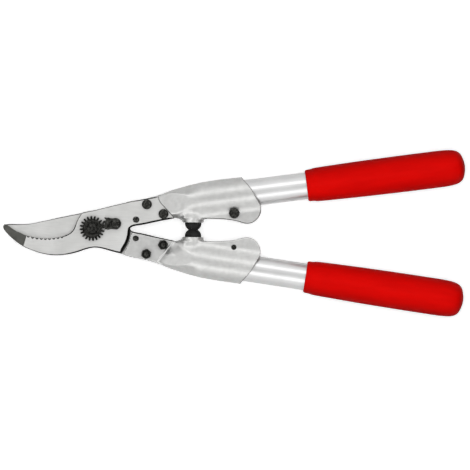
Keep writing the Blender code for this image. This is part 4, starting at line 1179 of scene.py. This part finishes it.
# --------------------------------------------------------------------- pivot
def make_pivot():
    top, under = Z_HIGH + GAP, -(Z_HIGH + GAP)
    end = top + 3.7 + 1.0
    rows = [(0.0, end - 0.5), (0.5, end - 0.35), (0.9, end - 0.05),
            (1.2, end), (2.6, end - 0.04), (3.4, end - 0.12),
            (3.85, end - 0.3)]
    rows += thread_rows(4.0, end - 0.6, top + 0.5, 1.0)
    rows += [(4.0, top - 0.5), (4.0, under), (8.2, under),
             (8.5, under - 0.3), (8.5, under - 2.3), (8.2, under - 2.8),
             (7.7, under - 3.2), (7.0, under - 3.4), (5.0, under - 3.4),
             (4.8, under - 3.2), (2.2, under - 3.2), (2.0, under - 3.4),
             (0.0, under - 3.4)]
    bolt = lathe("pivot_bolt_turned", rows, at_point("upper", (0, 0)),
                 [BLACK], 72, shape=thread_shape(1.0, 0.5), angle=28)
    show(bolt, "upper", "pivot_bolt")

    teeth, phase = 20, math.radians(95.4)
    pitch = 2 * math.pi / teeth
    marks = ((-0.5, 8.2), (-0.42, 8.25), (-0.36, 8.45), (-0.315, 8.9),
             (-0.275, 9.5), (-0.24, 10.1), (-0.19, 10.6), (-0.1, 10.88),
             (0.1, 10.88), (0.19, 10.6), (0.24, 10.1), (0.275, 9.5),
             (0.315, 8.9), (0.36, 8.45), (0.42, 8.25), (0.5, 8.2))

    def gear_shape(a, r, z, kind):
        u = ((a - phase) / pitch + 0.5) % 1.0 - 0.5
        full = float(np.interp(u, [m[0] for m in marks],
                               [m[1] for m in marks]))
        return min(full, r)
    face = top + 3.7
    rows = [(4.1, face + 0.7), (4.2, face + 0.86), (4.7, face + 0.95),
            (5.6, face + 0.88), (6.6, face + 0.6), (7.4, face + 0.25),
            (7.9, face), (8.3, face, "gear"), (10.3, face, "gear"),
            (10.7, face - 0.12, "gear"), (10.9, face - 0.4, "gear"),
            (10.9, top + 0.3, "gear"), (10.6, top, "gear"),
            (8.1, top, "gear"), (6.0, top), (4.4, top), (4.1, top + 0.25)]
    extra = [phase + (k + m[0]) * pitch for k in range(teeth) for m in marks]
    nut = lathe("pivot_nut_toothed", rows, at_point("upper", (0, 0)),
                [GEAR_BLACK], 6, closed=True, shape=gear_shape, angle=25,
                extra=extra)
    show(nut, "upper", "pivot_nut")

    outline = []
    for degrees, radius in ((-4.2, 10.5), (-1.2, 10.7), (0.6, 11.0),
                            (5.2, 11.0), (9.4, 11.0), (10.9, 10.3),
                            (11.9, 9.0), (12.9, 8.5), (15.9, 8.5),
                            (16.9, 9.0), (17.8, 10.3), (19.2, 11.1),
                            (21.0, 11.9), (23.8, 11.9), (25.6, 11.2),
                            (27.4, 10.4), (29.5, 10.1), (31.5, 10.4),
                            (33.2, 10.6)):
        a = math.radians(degrees)
        outline.append((radius * math.cos(a), radius * math.sin(a)))
    tail = [(p[0], p[1]) for p in smooth_outline(SEGMENT_TAIL, 4)]
    del tail[-3:]
    outline += tail
    segment = plate("locking_segment_toothed", oriented(outline),
                    [circle(SEGMENT_SCREW, 2.3, 32)],
                    [(0.2, top), (0.0, top + 0.2), (0.0, top + 2.65),
                     (0.1, top + 2.9), (0.35, top + 3.0)],
                    [(0.15, top), (0.0, top + 0.15), (0.0, top + 2.85),
                     (0.15, top + 3.0)],
                    Matrix.Identity(4), [BLACK, BLACK])
    tidy(segment, 30)
    segment.matrix_world = ARM["upper"]
    show(segment, "upper", "locking_segment")

    seat = top + 3.0 + GAP
    rows = [(0.0, seat + 2.2), (1.2, seat + 2.15), (2.2, seat + 1.97),
            (3.1, seat + 1.6), (3.8, seat + 1.1), (4.25, seat + 0.55),
            (4.4, seat + 0.1), (4.35, seat - 0.25), (2.0, seat - 0.25),
            (2.0, Z_LOW + 0.9),
            (1.6, Z_LOW + 0.4), (0.0, Z_LOW + 0.4)]
    screw = lathe("segment_screw_slotted", rows, Matrix.Identity(4), [BLACK],
                  56, angle=28)
    bm = bmesh.new()
    bmesh.ops.create_cube(bm, size=1.0)
    bmesh.ops.scale(bm, vec=(0.012, 0.0012, 0.003), verts=bm.verts)
    bmesh.ops.transform(
        bm, matrix=Matrix.Translation((0, 0, (seat + 2.9) * MM))
        @ Matrix.Rotation(math.radians(35), 4, "Z"), verts=bm.verts)
    mesh = bpy.data.meshes.new("slot")
    bm.to_mesh(mesh)
    bm.free()
    mesh.materials.append(BLACK)
    slot = bpy.data.objects.new("slot", mesh)
    bpy.context.scene.collection.objects.link(slot)
    cut(screw, [slot])
    tidy(screw, 28)
    screw.matrix_world = at_point("upper", SEGMENT_SCREW)
    show(screw, "upper", "segment_screw")


make_castings()
make_counter_blade()
make_cutting_blade()
for arm in ("upper", "lower"):
    make_handle(arm)
    make_bolts(arm)
make_pivot()


# --------------------------------------------------------------------- stage
def make_floor(name, z, light, dark, glow):
    mesh = bpy.data.meshes.new(name)
    mesh.from_pydata([(-3, -3, z), (3, -3, z), (3, 3, z), (-3, 3, z)], [],
                     [(0, 1, 2, 3)])
    floor = bpy.data.objects.new(name, mesh)
    bpy.context.scene.collection.objects.link(floor)
    t = Tree(name + "_paper")
    paper = t.noise(40, 3, 0.5)
    t.finish(t.blend(paper, (dark,) * 3, (light,) * 3), 0.9, 0.0)
    t.shader.inputs["Emission Color"].default_value = (1, 1, 1, 1)
    t.shader.inputs["Emission Strength"].default_value = glow
    t.shader.inputs["Specular IOR Level"].default_value = 0.0
    mesh.materials.append(t.mat)
    floor.visible_diffuse = False
    floor.visible_shadow = False
    return floor


def make_light(name, location, size, power):
    data = bpy.data.lights.new(name, "AREA")
    data.shape = "RECTANGLE"
    data.size, data.size_y = size
    data.energy = power
    light = bpy.data.objects.new(name, data)
    bpy.context.scene.collection.objects.link(light)
    light.location = location
    aim = Vector((0.0, 0.0, 0.0)) - Vector(location)
    light.rotation_euler = aim.to_track_quat("-Z", "Y").to_euler()
    light.visible_camera = False
    return light


def make_world():
    world = bpy.data.worlds.new("studio")
    bpy.context.scene.world = world
    world.use_nodes = True
    nodes, links = world.node_tree.nodes, world.node_tree.links
    background = nodes["Background"]
    coords = nodes.new("ShaderNodeTexCoord")
    split = nodes.new("ShaderNodeSeparateXYZ")
    links.new(coords.outputs["Generated"], split.inputs[0])
    side = nodes.new("ShaderNodeValToRGB")
    shift = nodes.new("ShaderNodeMapRange")
    shift.inputs["From Min"].default_value = -1.0
    shift.inputs["From Max"].default_value = 1.0
    links.new(split.outputs["Y"], shift.inputs["Value"])
    links.new(shift.outputs["Result"], side.inputs["Fac"])
    ramp = side.color_ramp
    ramp.interpolation = "EASE"
    stops = ((0.0, 1.0), (0.05, 1.0), (0.2, 0.94), (0.5, 0.80),
             (0.8, 0.94), (0.95, 1.0), (1.0, 1.0))
    ramp.elements[0].position, ramp.elements[1].position = 0.0, 1.0
    for position, _ in stops[1:-1]:
        ramp.elements.new(position)
    for element, (position, grey) in zip(ramp.elements, stops):
        element.position = position
        element.color = (grey, grey, grey, 1.0)
    # a white card leans in from each end, with a dark flag below it
    ends = nodes.new("ShaderNodeMath")
    ends.operation = "ABSOLUTE"
    links.new(split.outputs["X"], ends.inputs[0])
    cards = nodes.new("ShaderNodeValToRGB")
    links.new(ends.outputs[0], cards.inputs["Fac"])
    across = cards.color_ramp
    across.interpolation = "EASE"
    stops = ((0.0, 0.595), (0.30, 0.595), (0.48, 1.0), (0.64, 1.0),
             (0.90, 0.06), (1.0, 0.06))
    across.elements[0].position, across.elements[1].position = 0.0, 1.0
    for position, _ in stops[1:-1]:
        across.elements.new(position)
    for element, (position, grey) in zip(across.elements, stops):
        element.position = position
        element.color = (grey, grey, grey, 1.0)
    both = nodes.new("ShaderNodeVectorMath")
    both.operation = "MULTIPLY"
    links.new(side.outputs["Color"], both.inputs[0])
    links.new(cards.outputs["Color"], both.inputs[1])
    links.new(both.outputs["Vector"], background.inputs["Color"])
    background.inputs["Strength"].default_value = 1.68
    world.cycles_visibility.diffuse = False


def make_camera():
    data = bpy.data.cameras.new("camera")
    camera = bpy.data.objects.new("camera", data)
    bpy.context.scene.collection.objects.link(camera)
    data.sensor_width = 36.0
    distance = 4.0
    data.lens = 36.0 * distance / 0.40608
    data.clip_end = 30.0
    camera.location = (0.00114, -0.00402, PIVOT_Z + distance)
    camera.rotation_euler = (0.0, 0.0, math.radians(0.77))
    bpy.context.scene.camera = camera


# the white sheet that shows, and the unlit one that the metal mirrors
floor = make_floor("floor_white", -0.0002, 0.72, 0.70, 0.60)
floor.visible_glossy = False
under_floor = make_floor("floor_mirrored", -0.0004, 0.90, 0.86, 0.12)
under_floor.visible_camera = False
reach = 1.5
tilt = math.radians(37)
make_light("softbox_back", (0.05, reach * math.sin(tilt),
                            reach * math.cos(tilt)), (2.6, 0.42), 5.5)
make_light("softbox_front", (0.05, -reach * math.sin(tilt),
                             reach * math.cos(tilt)), (2.6, 0.42), 5.5)
# the overhead scrim: it lights the plastic and the floor from above, and
# the metal shows the two long softboxes instead
scrim = make_light("scrim_overhead", (0.0, 0.0, 2.0), (1.6, 1.0), 24.0)
scrim.visible_glossy = False
make_world()
make_camera()
bpy.context.scene.view_settings.view_transform = "Standard"
bpy.context.scene.view_settings.look = "None"
